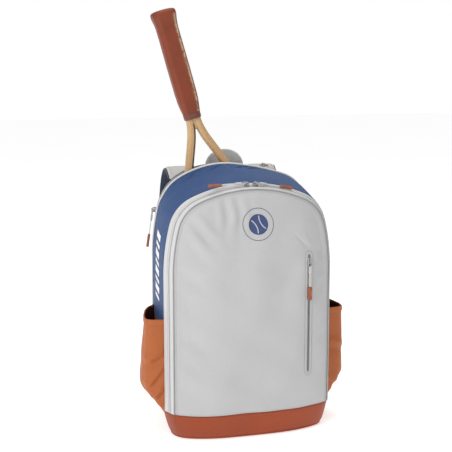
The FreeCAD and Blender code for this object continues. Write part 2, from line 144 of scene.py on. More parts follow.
class BackpackColours(bpy.types.PropertyGroup):
    """Base colours of the cloth and the fittings."""

    pale: colour_prop("Pale cloth", (0.445, 0.445, 0.447))
    blue: colour_prop("Blue cloth", (0.024, 0.068, 0.190))
    # The foot's clay cloth and the pockets' cloth stand for one fabric: the foot's colour is painted darker
    # and the pockets' lighter, for the light each one gets.
    clay: colour_prop("Clay cloth", (0.295, 0.050, 0.0125))
    pocket: colour_prop("Pocket cloth", (0.395, 0.106, 0.027))
    navy: colour_prop("Navy cloth", (0.012, 0.022, 0.045))
    strap: colour_prop("Strap cloth", (0.50, 0.495, 0.475))
    white: colour_prop("Piping and cord", (0.66, 0.65, 0.62))
    lacquer: colour_prop("Racket lacquer", (0.47, 0.285, 0.125))
    grip: colour_prop("Racket grip", (0.185, 0.036, 0.013))


def sizes():
    return bpy.context.scene.backpack_sizes


# ---------------------------------------------------------------- surfaces as arrays
def xyz(x, y, z):
    """Points from coordinates that are numbers or arrays, spread over one shape."""
    return np.stack(np.broadcast_arrays(x, y, z), -1)


def unit(v):
    """Vectors scaled to length one."""
    return v / np.linalg.norm(v, axis=-1, keepdims=True)


def turns(count):
    """Angles evenly spaced round a full turn."""
    return np.linspace(0, 2 * math.pi, count, endpoint=False)


def root(value, power):
    """Size raised to 2 over power, with the sign kept."""
    return np.sign(value) * np.abs(value) ** (2 / power)


def ease(t):
    """Smooth step: three times the square less twice the cube."""
    return t * t * (3 - 2 * t)


def dome(r):
    """Swelling of the front panel: one minus (one minus r) to the power 3.4."""
    return 1 - (1 - np.clip(r, 0, 1)) ** 3.4


def arch(s, width, top, bottom=None):
    """Arch outline by share of its length.

    s runs from -1 at the left foot through 0 at the crown to 1 at the right foot. Each half is a
    quarter of the top arc, a corner arc, a side arc and a straight side, tangent to each other.
    Returns x, z and the outward direction's x and z.
    """
    bottom = BOOT_TOP if bottom is None else bottom
    s, width, top, bottom = np.broadcast_arrays(s, np.maximum(width, 1e-7), top, bottom)
    rs, rc = SIDE_RADIUS * width, CORNER_RADIUS * width
    rt = width - rs * (1 - math.cos(SIDE_TURN)) - rc * (math.cos(SIDE_TURN) - math.cos(CORNER_END))
    rt = rt / math.cos(CORNER_END)
    rise = rs * math.sin(SIDE_TURN) + rc * (math.sin(CORNER_END) - math.sin(SIDE_TURN))
    spring = top - rise - rt * (1 - math.sin(CORNER_END))
    lt, lc, ls = rt * (0.5 * math.pi - CORNER_END), rc * (CORNER_END - SIDE_TURN), rs * SIDE_TURN
    d = np.abs(s) * (lt + lc + ls + spring - bottom)
    where_top, where_corner, where_side = d < lt, d < lt + lc, d < lt + lc + ls
    phi = np.where(where_side, SIDE_TURN - (d - lt - lc) / rs, 0.0)
    phi = np.where(where_corner, CORNER_END - (d - lt) / rc, phi)
    phi = np.where(where_top, 0.5 * math.pi - d / rt, phi)
    r = np.where(where_top, rt, np.where(where_corner, rc, np.where(where_side, rs, 0.0)))
    corner_x = width - rs + (rs - rc) * math.cos(SIDE_TURN)
    corner_z = spring + (rs - rc) * math.sin(SIDE_TURN)
    cx = np.where(where_top, 0.0, np.where(where_corner, corner_x, np.where(where_side, width - rs, width)))
    cz = np.where(where_side, spring, spring - (d - lt - lc - ls))
    cz = np.where(where_corner, corner_z, cz)
    cz = np.where(where_top, top - rt, cz)
    hand = np.where(s < 0, -1.0, 1.0)
    return hand * (cx + r * np.cos(phi)), cz + r * np.sin(phi), hand * np.cos(phi), np.sin(phi)


def share_at(turn, width, top):
    """Share s of the arch's length where its outward direction stands at the given turn from level."""
    s = np.linspace(0, 1, 4001)
    _, _, nx, nz = arch(s, width, top)
    return float(np.interp(-turn, -np.arctan2(nz, nx), s))


def share_at_height(z, width, top):
    """Share s of the arch's length where the arch is at height z."""
    s = np.linspace(0, 1, 4001)
    return float(np.interp(-z, -arch(s, width, top)[1], s))


def waist(y, z):
    """How far the sides draw in towards the foot: nothing at the front seam, most at the back."""
    back = np.clip((y - SEAM_Y) / (90 * MM), 0, 1)
    low = np.clip(1 - (z - BOOT_TOP) / (65 * MM), 0, 1)
    return 9 * MM * ease(back) * low ** 1.5


def body_skin(s, y):
    """Point of the sewn body at share s and depth y: the arch whose width and top follow the stations."""
    x, z, _, _ = arch(s, np.interp(y, STATION_Y, STATION_W), np.interp(y, STATION_Y, STATION_TOP))
    x = x - np.sign(x) * waist(y, z)
    return xyz(x, y, z)


def skin(s, y, lift=0.0):
    """Point of the body moved outwards by lift, and its outward direction from the cross product."""
    s, y = np.broadcast_arrays(np.asarray(s, float), np.asarray(y, float))
    e = 0.8 * MM
    across = body_skin(s + e, y) - body_skin(s - e, y)
    along = body_skin(s, y + e) - body_skin(s, y - e)
    n = unit(np.cross(across, along))
    return body_skin(s, y) + n * np.broadcast_to(lift, s.shape)[..., None], n


def soft_noise(points, scale, seed, octaves=3):
    """Smooth bumps in -1..1: a sum of sine waves in seeded directions, finer and weaker by octave."""
    rng = np.random.default_rng(seed)
    total, weight = np.zeros(points.shape[:-1]), 0.0
    for octave in range(octaves):
        for _ in range(4):
            direction = unit(rng.normal(size=3))
            phase = rng.uniform(0, 2 * math.pi)
            wave = np.sin(points @ direction * (2 * math.pi / scale) * 1.9 ** octave + phase)
            total += wave * 0.55 ** octave
            weight += 0.55 ** octave
    return total / weight * 2.0


def bump_at(a, centre, size):
    """Bell curve."""
    return np.exp(-((a - centre) / size) ** 2)


def lengths(points, axis):
    """Running length along an axis of a grid of points, from zero."""
    step = np.linalg.norm(np.diff(points, axis=axis), axis=-1)
    total = np.cumsum(step, axis=axis)
    pad = [(1, 0) if i == axis else (0, 0) for i in range(step.ndim)]
    return np.pad(total, pad)


# ---------------------------------------------------------------- meshes
# points closer than this are joined, so seams and poles are closed
WELD = 2e-6
# length of the cloth simulation of the pads
SWELL_FRAMES = 18


def mesh_object(name, points, faces, uv=None, edge=None, material=None):
    """Object from points and faces, with the UV map and the seam attribute written in one go; on the cloth
    the seam attribute is painted shade at seams and joins, on the grip it places a pale strip.
    """
    mesh = bpy.data.meshes.new(name)
    mesh.from_pydata(points.tolist(), [], faces.tolist())
    if uv is not None:
        layer = mesh.uv_layers.new(name="UVMap")
        layer.data.foreach_set("uv", uv[faces.ravel()].astype(np.float32).ravel())
    if edge is not None:
        attribute = mesh.attributes.new("seam", "FLOAT", "POINT")
        attribute.data.foreach_set("value", edge.astype(np.float32).ravel())
    mesh.polygons.foreach_set("use_smooth", np.ones(len(faces), bool))
    mesh.update()
    obj = bpy.data.objects.new(name, mesh)
    bpy.context.scene.collection.objects.link(obj)
    if material:
        mesh.materials.append(MATERIALS[material])
    return obj


def read(items, key):
    """Vectors of all vertices or faces of a mesh, one in each row."""
    values = np.empty(len(items) * 3)
    items.foreach_get(key, values)
    return values.reshape(-1, 3)


def write(obj, points, smooth=False):
    """Sets all vertices of an object."""
    obj.data.vertices.foreach_set("co", points.ravel())
    if smooth:
        obj.data.polygons.foreach_set("use_smooth", np.ones(len(obj.data.polygons), bool))
    obj.data.update()


def grid_object(name, points, material, closed=(False, False), flip=False, edge=None, weld=True):
    """Grid of points (n, m, 3) as quads; a closed direction joins its last row to its first."""
    n, m = points.shape[:2]
    index = np.arange(n * m).reshape(n, m)
    if closed[0]:
        index = np.concatenate([index, index[:1]], 0)
    if closed[1]:
        index = np.concatenate([index, index[:, :1]], 1)
    faces = np.stack([index[:-1, :-1], index[1:, :-1], index[1:, 1:], index[:-1, 1:]], -1).reshape(-1, 4)
    if flip:
        faces = faces[:, ::-1]
    uv = np.stack([lengths(points, 0), lengths(points, 1)], -1).reshape(-1, 2)
    edge = None if edge is None else np.broadcast_to(edge, (n, m)).reshape(-1)
    obj = mesh_object(name, points.reshape(-1, 3), faces, uv, edge, material)
    if weld:
        edit_mesh(obj, lambda bm: bmesh.ops.remove_doubles(bm, verts=bm.verts, dist=WELD),
                  lambda bm: bmesh.ops.dissolve_degenerate(bm, edges=bm.edges, dist=1e-7))
    return obj


def edit_mesh(obj, *steps):
    """Runs mesh operations on an object."""
    bm = bmesh.new()
    bm.from_mesh(obj.data)
    for step in steps:
        step(bm)
    bm.to_mesh(obj.data)
    bm.free()


def outward(obj):
    """Turns the faces of a closed mesh outwards."""
    edit_mesh(obj, lambda bm: bmesh.ops.recalc_face_normals(bm, faces=bm.faces))
    return obj


def thicken(obj, thickness):
    """Gives a sheet its thickness, inwards."""
    modifier = obj.modifiers.new("Thickness", "SOLIDIFY")
    modifier.thickness = thickness
    modifier.offset = -1
    modifier.use_even_offset = False
    return obj


def ring_profile(half_side, half_up, power=2.0, count=16):
    """Closed superellipse outline: cosine and sine raised to 2 over power."""
    a = turns(count)
    return np.stack([half_side * root(np.cos(a), power), half_up * root(np.sin(a), power)], -1)


def sweep(path, up, profile, scale=1.0, closed=False):
    """Profile carried along a path: each ring stands across the path, with its second axis near up.

    The ends of an open path are shut.
    """
    ahead = np.roll(path, -1, 0) - np.roll(path, 1, 0) if closed else np.gradient(path, axis=0)
    ahead = unit(ahead)
    side = unit(np.cross(ahead, np.asarray(up, float)))
    lift = np.cross(side, ahead)
    flat = profile * np.broadcast_to(scale, (len(path),))[:, None, None]
    rings = path[:, None] + side[:, None] * flat[..., :1] + lift[:, None] * flat[..., 1:]
    if closed:
        return rings
    first, last = (np.broadcast_to(end, rings[:1].shape) for end in (path[0], path[-1]))
    return np.concatenate([first, rings, last])


def tube_object(name, path, up, profile, material, scale=1.0, closed=False):
    """Swept piece as a closed mesh."""
    return outward(grid_object(name, sweep(path, up, profile, scale, closed), material,
                               closed=(closed, True)))


def cord_profile(radius, count=10):
    return ring_profile(radius, radius, count=count)


def smooth_path(points, count):
    """Smooth line through given points: corners are cut by quarters four times, then spaced evenly."""
    path = np.asarray(points, float)
    for _ in range(4):
        a, b = path[:-1], path[1:]
        middle = np.stack([0.75 * a + 0.25 * b, 0.25 * a + 0.75 * b], 1).reshape(-1, path.shape[1])
        path = np.concatenate([path[:1], middle, path[-1:]])
    return resample(path, count)


def resample(path, count):
    """Evenly spaced points on a line."""
    d = np.concatenate([[0], np.cumsum(np.linalg.norm(np.diff(path[:, :3], axis=0), axis=1))])
    t = np.linspace(0, d[-1], count)
    return np.stack([np.interp(t, d, path[:, k]) for k in range(path.shape[1])], -1)


def join(name, objects):
    """Several meshes as one object, with their materials."""
    bpy.ops.object.select_all(action="DESELECT")
    for obj in objects:
        obj.select_set(True)
    bpy.context.view_layer.objects.active = objects[0]
    bpy.ops.object.join()
    objects[0].name = name
    return objects[0]


def finish_piece(obj, body, replaced=()):
    """Hands a finished piece to the frame."""
    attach(obj, body)
    if replaced:
        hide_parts(*replaced)
    return obj


def paint_node(node, key):
    """Gives a CAD node that stays as it is its material."""
    mesh = frame["nodes"][node].data
    mesh.materials.clear()
    mesh.materials.append(MATERIALS[key])


def apply_modifiers(obj):
    """Replaces the mesh by its evaluated copy."""
    graph = bpy.context.evaluated_depsgraph_get()
    mesh = bpy.data.meshes.new_from_object(obj.evaluated_get(graph), depsgraph=graph)
    obj.modifiers.clear()
    obj.data = mesh


STITCH_BODY = np.array([[1, 0, 0], [-1, 0, 0], [0, 1, 0], [0, -1, 0], [0, 0, 1], [0, 0, -1]], float)
STITCH_FACES = np.array(
    [[0, 2, 4], [2, 1, 4], [1, 3, 4], [3, 0, 4], [2, 0, 5], [1, 2, 5], [3, 1, 5], [0, 3, 5]])


def stitches(name, path, normal, material, body="bag", pitch=None, length=2.6 * MM, radius=0.42 * MM):
    """Finished row of small eight-faced stitches, evenly spaced along a path and lying on its surface."""
    pitch = pitch or sizes().stitch
    total = np.linalg.norm(np.diff(path, axis=0), axis=1).sum()
    both = resample(np.concatenate([path, normal], 1), max(int(total / pitch), 2))
    centre, n = both[:, :3], unit(both[:, 3:])
    t = unit(np.gradient(centre, axis=0))
    b = np.cross(t, n)
    shape = STITCH_BODY * [0.5 * length, 1.25 * radius, radius]
    points = centre[:, None] + t[:, None] * shape[None, :, :1]
    points = points + b[:, None] * shape[None, :, 1:2] + n[:, None] * shape[None, :, 2:]
    faces = STITCH_FACES[None] + (np.arange(len(centre)) * 6)[:, None, None]
    finish_piece(mesh_object(name, points.reshape(-1, 3), faces.reshape(-1, 3), material=material), body)


def swell(obj, voxel, pressure, cap):
    """Cloth simulation under inner pressure, with every point held within cap of where it started."""
    modifier = obj.modifiers.new("Remesh", "REMESH")
    modifier.mode = "VOXEL"
    modifier.voxel_size = voxel
    apply_modifiers(obj)
    before = read(obj.data.vertices, "co")
    cloth = obj.modifiers.new("Cloth", "CLOTH")
    cloth.settings.use_pressure = True
    cloth.settings.uniform_pressure_force = pressure
    cloth.settings.quality = 5
    cloth.settings.mass = 0.3
    cloth.settings.effector_weights.gravity = 0
    cloth.settings.shrink_min = -0.04
    cloth.collision_settings.use_collision = False
    cloth.point_cache.frame_start = 1
    cloth.point_cache.frame_end = SWELL_FRAMES
    scene = bpy.context.scene
    for number in range(1, SWELL_FRAMES + 1):
        scene.frame_set(number)
    apply_modifiers(obj)
    scene.frame_set(1)
    move = read(obj.data.vertices, "co") - before
    size = np.linalg.norm(move, axis=1, keepdims=True)
    write(obj, before + move * np.minimum(1, cap / np.maximum(size, 1e-9)), smooth=True)


# ---------------------------------------------------------------- materials
class Nodes:
    """Short way to write a node tree."""

    def __init__(self, name):
        self.material = bpy.data.materials.new(name)
        self.material.use_nodes = True
        self.tree = self.material.node_tree
        self.shader = self.tree.nodes["Principled BSDF"]
        where = self.add("TexCoord")
        self.place, self.uv = where.outputs["Object"], where.outputs["UV"]

    def add(self, kind, **values):
        node = self.tree.nodes.new("ShaderNode" + kind)
        for key, value in values.items():
            if isinstance(value, bpy.types.NodeSocket):
                self.tree.links.new(value, node.inputs[key.replace("_", " ")])
            elif hasattr(node, key):
                setattr(node, key, value)
            else:
                node.inputs[key.replace("_", " ")].default_value = value
        return node

    def math(self, operation, a, b=0.0):
        node = self.tree.nodes.new("ShaderNodeMath")
        node.operation = operation
        for socket, value in zip(node.inputs, (a, b)):
            if isinstance(value, bpy.types.NodeSocket):
                self.tree.links.new(value, socket)
            else:
                socket.default_value = value
        return node.outputs[0]

    def noise(self, vector, scale, detail=3.0, rough=0.55):
        node = self.add("TexNoise", Scale=scale, Detail=detail, Roughness=rough)
        self.tree.links.new(vector, node.inputs["Vector"])
        return node.outputs["Fac"]

    def ramp(self, value, low, high, out_low=0.0, out_high=1.0):
        node = self.tree.nodes.new("ShaderNodeMapRange")
        self.tree.links.new(value, node.inputs["Value"])
        for key, number in zip(("From Min", "From Max", "To Min", "To Max"), (low, high, out_low, out_high)):
            node.inputs[key].default_value = number
        return node.outputs["Result"]

    def mix(self, factor, a, b):
        node = self.tree.nodes.new("ShaderNodeMix")
        node.data_type = "RGBA"
        for key, value in ((0, factor), (6, a), (7, b)):
            if isinstance(value, bpy.types.NodeSocket):
                self.tree.links.new(value, node.inputs[key])
            else:
                node.inputs[key].default_value = value
        return node.outputs[2]

    def tint(self, value, colour, dark, light, low=0.3, high=0.7):
        """A darker or lighter shade of one colour by a value."""
        return self.mix(self.ramp(value, low, high), shade(colour, dark), shade(colour, light))

    def roughen(self, value, low, high):
        self.drive("Roughness", self.ramp(value, 0.3, 0.7, low, high))

    def drive(self, key, value):
        if isinstance(value, bpy.types.NodeSocket):
            self.tree.links.new(value, self.shader.inputs[key])
        else:
            self.shader.inputs[key].default_value = value

    def bump(self, height, distance, strength=1.0, below=None):
        node = self.tree.nodes.new("ShaderNodeBump")
        node.inputs["Distance"].default_value = distance
        node.inputs["Strength"].default_value = strength
        self.tree.links.new(height, node.inputs["Height"])
        if below is not None:
            self.tree.links.new(below, node.inputs["Normal"])
        return node.outputs["Normal"]


def shade(colour, k):
    return tuple(min(1.0, c * k) for c in colour[:3]) + (1.0,)


def cloth(name, colour, pitch=1.1 * MM, rough=0.62, sheen=0.25, depth=0.10 * MM, spread=0.10, coords="UV",
          crease=0.35 * MM, coat=0.0):
    """Woven cloth: crossed threads from two sine waves, patchy colour and gloss, and painted shade darkening
    the seams.
    """
    n = Nodes(name)
    place = n.place
    split = n.add("SeparateXYZ", Vector=n.uv if coords == "UV" else n.place)
    turn = 2 * math.pi / pitch
    second = split.outputs["Y"] if coords == "UV" else split.outputs["Z"]
    warp = n.math("SINE", n.math("MULTIPLY", split.outputs["X"], turn))
    weft = n.math("SINE", n.math("MULTIPLY", second, turn))
    weave = n.math("MULTIPLY", warp, weft)
    patches = n.noise(place, 9.0, 4.0)
    threads = n.noise(place, 700.0, 2.0)
    seam = n.add("Attribute", attribute_name="seam").outputs["Fac"]
    base = n.tint(patches, colour, 1 - spread, 1 + 0.6 * spread)
    base = n.mix(n.ramp(threads, 0.35, 0.65, 0.0, 0.35), base, shade(colour, 0.82))
    base = n.mix(n.ramp(weave, -1.0, 1.0, 0.0, 0.16), base, shade(colour, 1.18))
    # Painted shade: the seam attribute darkens the cloth along seams, joins and turned-under edges.
    base = n.mix(n.math("MULTIPLY", seam, 0.45), base, shade(colour, 0.55))
    n.drive("Base Color", base)
    n.roughen(n.noise(place, 24.0, 3.0), rough - 0.08, rough + 0.08)
    n.drive("Sheen Weight", sheen)
    n.drive("Sheen Roughness", 0.45)
    n.drive("Specular IOR Level", 0.28)
    n.drive("Coat Weight", coat)
    n.drive("Coat Roughness", 0.45)
    creases = n.bump(n.noise(place, 34.0, 5.0, 0.6), crease)
    n.drive("Normal", n.bump(weave, depth, 0.8, creases))
    return n.material


def mesh_cloth(name, colour):
    """Spacer mesh: a honeycomb of small holes over a darker ground."""
    n = Nodes(name)
    place = n.place
    cells = n.add("TexVoronoi", Scale=330.0, feature="DISTANCE_TO_EDGE", Vector=place).outputs["Distance"]
    holes = n.ramp(cells, 0.05, 0.30)
    patches = n.noise(place, 12.0)
    ribs = n.tint(patches, colour, 1.5, 2.3)
    n.drive("Base Color", n.mix(holes, ribs, shade(colour, 0.45)))
    n.roughen(patches, 0.72, 0.9)
    n.drive("Sheen Weight", 0.35)
    n.drive("Normal", n.bump(n.math("SUBTRACT", 1.0, holes), 0.5 * MM, 0.9))
    return n.material


def webbing(name, colour, pitch=2.2 * MM):
    """Ribbed webbing: chevron ribs along the strap with a tight edge."""
    n = Nodes(name)
    split = n.add("SeparateXYZ", Vector=n.uv)
    turn = 2 * math.pi / pitch
    fold = n.math("ABSOLUTE", n.math("SINE", n.math("MULTIPLY", split.outputs["Y"], 0.35 * turn)))
    along = n.math("MULTIPLY", split.outputs["X"], turn)
    rib = n.math("SINE", n.math("ADD", along, n.math("MULTIPLY", fold, 4.0)))
    patches = n.noise(n.place, 40.0)
    base = n.tint(rib, colour, 0.78, 1.12, -1.0, 1.0)
    n.drive("Base Color", n.mix(n.ramp(patches, 0.3, 0.7, 0.0, 0.25), base, shade(colour, 0.7)))
    n.roughen(patches, 0.6, 0.75)
    n.drive("Sheen Weight", 0.2)
    n.drive("Normal", n.bump(rib, 0.18 * MM, 0.8))
    return n.material


def leather(name, colour, rough):
    """Pressed grain from cells, with lighter rubbed spots."""
    n = Nodes(name)
    place = n.place
    cells = n.add("TexVoronoi", Scale=900.0, Vector=place).outputs["Distance"]
    patches = n.noise(place, 60.0, 4.0)
    n.drive("Base Color", n.tint(patches, colour, 0.78, 1.22, 0.35, 0.7))
    n.roughen(patches, rough - 0.1, rough + 0.12)
    n.drive("Normal", n.bump(cells, 0.12 * MM, 0.7))
    return n.material


def plastic(name, colour, rough=0.45, coat=0.0):
    """Moulded plastic with a fine satin grain and faint flow marks."""
    n = Nodes(name)
    place = n.place
    flow = n.noise(place, 35.0, 3.0)
    n.drive("Base Color", n.tint(flow, colour, 0.85, 1.15))
    n.roughen(flow, rough - 0.06, rough + 0.08)
    n.drive("Coat Weight", coat)
    n.drive("Coat Roughness", 0.15)
    n.drive("Normal", n.bump(n.noise(place, 1400.0, 2.0), 0.05 * MM, 0.6))
    return n.material


def metal(name, colour):
    """Plated zinc with fine handling scratches."""
    n = Nodes(name)
    place = n.place
    marks = n.noise(place, 260.0, 5.0, 0.7)
    n.drive("Base Color", n.tint(marks, colour, 0.8, 1.1, 0.35, 0.65))
    n.drive("Metallic", 1.0)
    n.roughen(marks, 0.18, 0.42)
    n.drive("Normal", n.bump(marks, 0.03 * MM, 0.5))
    return n.material


def lacquer(name, colour):
    """Clear lacquer over a colour streaked along the racket, lighter where it has rubbed."""
    n = Nodes(name)
    stretch = n.add("Mapping", Vector=n.uv)
    stretch.inputs["Scale"].default_value = (14.0, 420.0, 1.0)
    streaks = n.noise(stretch.outputs["Vector"], 1.0, 5.0, 0.65)
    patches = n.noise(n.place, 16.0)
    base = n.tint(streaks, colour, 0.72, 1.22)
    n.drive("Base Color", n.mix(n.ramp(patches, 0.4, 0.75, 0.0, 0.35), base, shade(colour, 1.35)))
    n.roughen(patches, 0.3, 0.42)
    n.drive("Coat Weight", 0.5)
    n.drive("Coat Roughness", 0.12)
    n.drive("Normal", n.bump(streaks, 0.06 * MM, 0.5))
    return n.material


def grip_leather(name, colour):
    """Smooth waxed grip: fine grain, darker handled patches and a pale patchy strip placed by the seam
    attribute.
    """
    n = Nodes(name)
    place = n.place
    grain = n.noise(place, 900.0, 3.0)
    patches = n.noise(place, 26.0, 4.0)
    # Breaks the pale strip into patches; the seam attribute places the strip at one angle round the grip.
    rubbed = n.ramp(n.noise(place, 130.0, 4.0, 0.7), 0.38, 0.56)
    seam = n.add("Attribute", attribute_name="seam").outputs["Fac"]
    base = n.tint(patches, colour, 0.85, 1.2)
    base = n.mix(n.ramp(grain, 0.35, 0.65, 0.0, 0.3), base, shade(colour, 0.75))
    n.drive("Base Color", n.mix(n.math("MULTIPLY", seam, rubbed), base, (0.62, 0.47, 0.30, 1)))
    n.roughen(patches, 0.34, 0.48)
    n.drive("Specular IOR Level", 0.28)
    n.drive("Normal", n.bump(grain, 0.05 * MM, 0.6))
    return n.material


MATERIALS = {}


def make_materials():
    c = bpy.context.scene.backpack_colours
    MATERIALS.update(
        pale=cloth("pale_cloth", c.pale, 1.0 * MM, 0.44, 0.04, 0.05 * MM, 0.035, crease=0.22 * MM, coat=0.15),
        # The gusset strips take the pale cloth made 1.28 times lighter: painted light on these upward-facing
        # strips.
        strip=cloth("strip_cloth", shade(c.pale, 1.28), 1.0 * MM, 0.44, 0.04, 0.05 * MM, 0.03,
                    crease=0.2 * MM,
                    coat=0.1),
        blue=cloth("blue_cloth", c.blue, 0.9 * MM, 0.60, 0.07, 0.07 * MM, 0.10),
        # Clay and pocket cloth are one fabric in two shades: painted shade darkens the foot's colour and
        # painted light lightens the pockets'.
        clay=cloth("clay_cloth", c.clay, 1.0 * MM, 0.52, 0.06, 0.07 * MM, 0.10, coat=0.04),
        pocket=cloth("pocket_cloth", c.pocket, 1.0 * MM, 0.5, 0.05, 0.07 * MM, 0.12, crease=0.5 * MM,
                     coat=0.05),
        # The side pockets' inner faces take the clay cloth at about a quarter of its brightness: painted
        # shade inside the pockets.
        pocket_inside=cloth("pocket_inside", shade(c.clay, 0.26), 1.0 * MM, 0.8, 0.0, 0.05 * MM, 0.1),
        navy=cloth("navy_cloth", c.navy, 1.1 * MM, 0.7, 0.12, 0.1 * MM, 0.15),
        strap=cloth("strap_cloth", c.strap, 1.0 * MM, 0.6, 0.06, 0.08 * MM, 0.06),
        lining=cloth("lining_cloth", (0.30, 0.29, 0.28), 1.0 * MM, 0.7, 0.1, 0.06 * MM, 0.1, coords="OBJECT"),
        mesh=mesh_cloth("air_mesh", c.navy),
        web=webbing("strap_webbing", c.navy),
        # The handle's webbing is the strap colour made 1.4 times lighter: painted light that makes up for the
        # shade the handle sits in.
        handle=webbing("handle_webbing", shade(c.strap, 1.4), 1.8 * MM),
        tape=webbing("zip_tape_weave", (0.47, 0.47, 0.465), 1.2 * MM),
        piping=cloth("piping_cloth", c.white, 1.2 * MM, 0.6, 0.15, 0.08 * MM, 0.05),
        # The front panel's piping is the pale cloth made darker: partly the piping's own grey, partly painted
        # shade of the groove along the seam.
        grey_piping=cloth("grey_piping_cloth", shade(c.pale, 0.8), 1.2 * MM, 0.6, 0.1, 0.08 * MM, 0.05),
        cord=webbing("pull_cord_weave", c.white, 1.4 * MM),
        tag=leather("tag_leather", (0.27, 0.070, 0.022), 0.5),
        nickel=metal("nickel", (0.44, 0.44, 0.45)),
        coil=plastic("zip_coil", (0.36, 0.36, 0.365), 0.4),
        dark_coil=plastic("dark_zip_coil", (0.10, 0.10, 0.105), 0.4),
        dark_lacquer=plastic("dark_lacquer", (0.085, 0.045, 0.020), 0.4, 0.3),
        buckle=plastic("buckle_plastic", (0.016, 0.02, 0.03), 0.42),
        board=plastic("stiff_sheet", (0.12, 0.12, 0.13), 0.55),
        thread=plastic("thread", (0.33, 0.33, 0.335), 0.6),
        blue_thread=plastic("blue_thread", (0.10, 0.16, 0.30), 0.6),
        clay_thread=plastic("clay_thread", (0.50, 0.16, 0.07), 0.6),
        print_navy=plastic("print_navy", (0.030, 0.050, 0.140), 0.5),
        print_white=plastic("print_white", (0.82, 0.82, 0.82), 0.5),
        lacquer=lacquer("racket_lacquer", c.lacquer),
        grip=grip_leather("grip_leather", c.grip),
        rubber=plastic("collar_rubber", (0.14, 0.038, 0.022), 0.5),
        string=plastic("string", (0.72, 0.68, 0.52), 0.25, 0.3),
        guard=plastic("head_guard", (0.10, 0.06, 0.035), 0.35, 0.3),
    )


# ---------------------------------------------------------------- the open stretch of the main zip
ZIP_W = float(np.interp(ZIP_Y, STATION_Y, STATION_W))
ZIP_TOP = float(np.interp(ZIP_Y, STATION_Y, STATION_TOP))
OPEN_LEFT = -share_at(math.radians(14.5), ZIP_W, ZIP_TOP)
OPEN_RIGHT = share_at(math.radians(76.5), ZIP_W, ZIP_TOP)


def gap(s):
    """How far the zip stands open at share s: one between the sliders, easing to nothing at them."""
    rise = np.clip((s - OPEN_LEFT) / 0.05, 0, 1)
    fall = np.clip((OPEN_RIGHT - s) / 0.08, 0, 1)
    return ease(np.minimum(rise, fall))


def rise(s):
    """How far the cloth stands above the bare arch along the main zip: most where the racket comes out."""
    at = np.array([-0.31, -0.26, -0.20, -0.13, -0.07, -0.02, 0.03, 0.07, 0.12, 0.18, 0.22, 0.27, 0.33])
    up = np.array([0.0, 2.5, 8.0, 11.0, 11.5, 9.5, 6.0, 4.0, 2.6, 4.2, 5.2, 2.6, 0.0]) * MM
    smooth = [np.interp(s + step, at, up) for step in (-0.03, -0.015, 0.0, 0.015, 0.03)]
    return sum(smooth) / len(smooth)


def half_zip(s):
    """Distance from the zip's middle to the cloth's edge: half a zip, and nothing below the zip's foot."""
    foot = share_at_height(ZIP_FOOT, ZIP_W, ZIP_TOP)
    closed = np.clip((np.abs(s) - foot) / 0.012, 0, 1)
    return (sizes().tape - 0.5 * MM) * (1 - closed)


def front_edge(s):
    """Depth of the front cloth's edge along the main zip."""
    return ZIP_Y - half_zip(s) - 0.6 * sizes().gape * gap(s)


def rear_edge(s):
    """Depth of the rear cloth's edge along the main zip."""
    return ZIP_Y + half_zip(s) + 2.0 * sizes().gape * gap(s)


def spread(count):
    """Numbers from 0 to 1 that crowd towards both ends."""
    t = np.linspace(-1, 1, count)
    return 0.5 + 0.5 * np.sign(t) * (1 - (1 - np.abs(t)) ** 1.6)


# ---------------------------------------------------------------- front panel
def panel_point(s, r):
    """Front panel: nested arches that shrink by r from the piping to the spine while they swell forwards.

    The edge turns under at the piping.
    """
    w, top = STATION_W[0], STATION_TOP[0]
    x, z, _, _ = arch(s, w * (1 - r), top - w * r)
    inset = w * r
    y = FRONT_Y - BULGE * dome(r) + 1.2 * MM * np.exp(-inset / (2.5 * MM))
    return x, y + 0 * x, z, inset


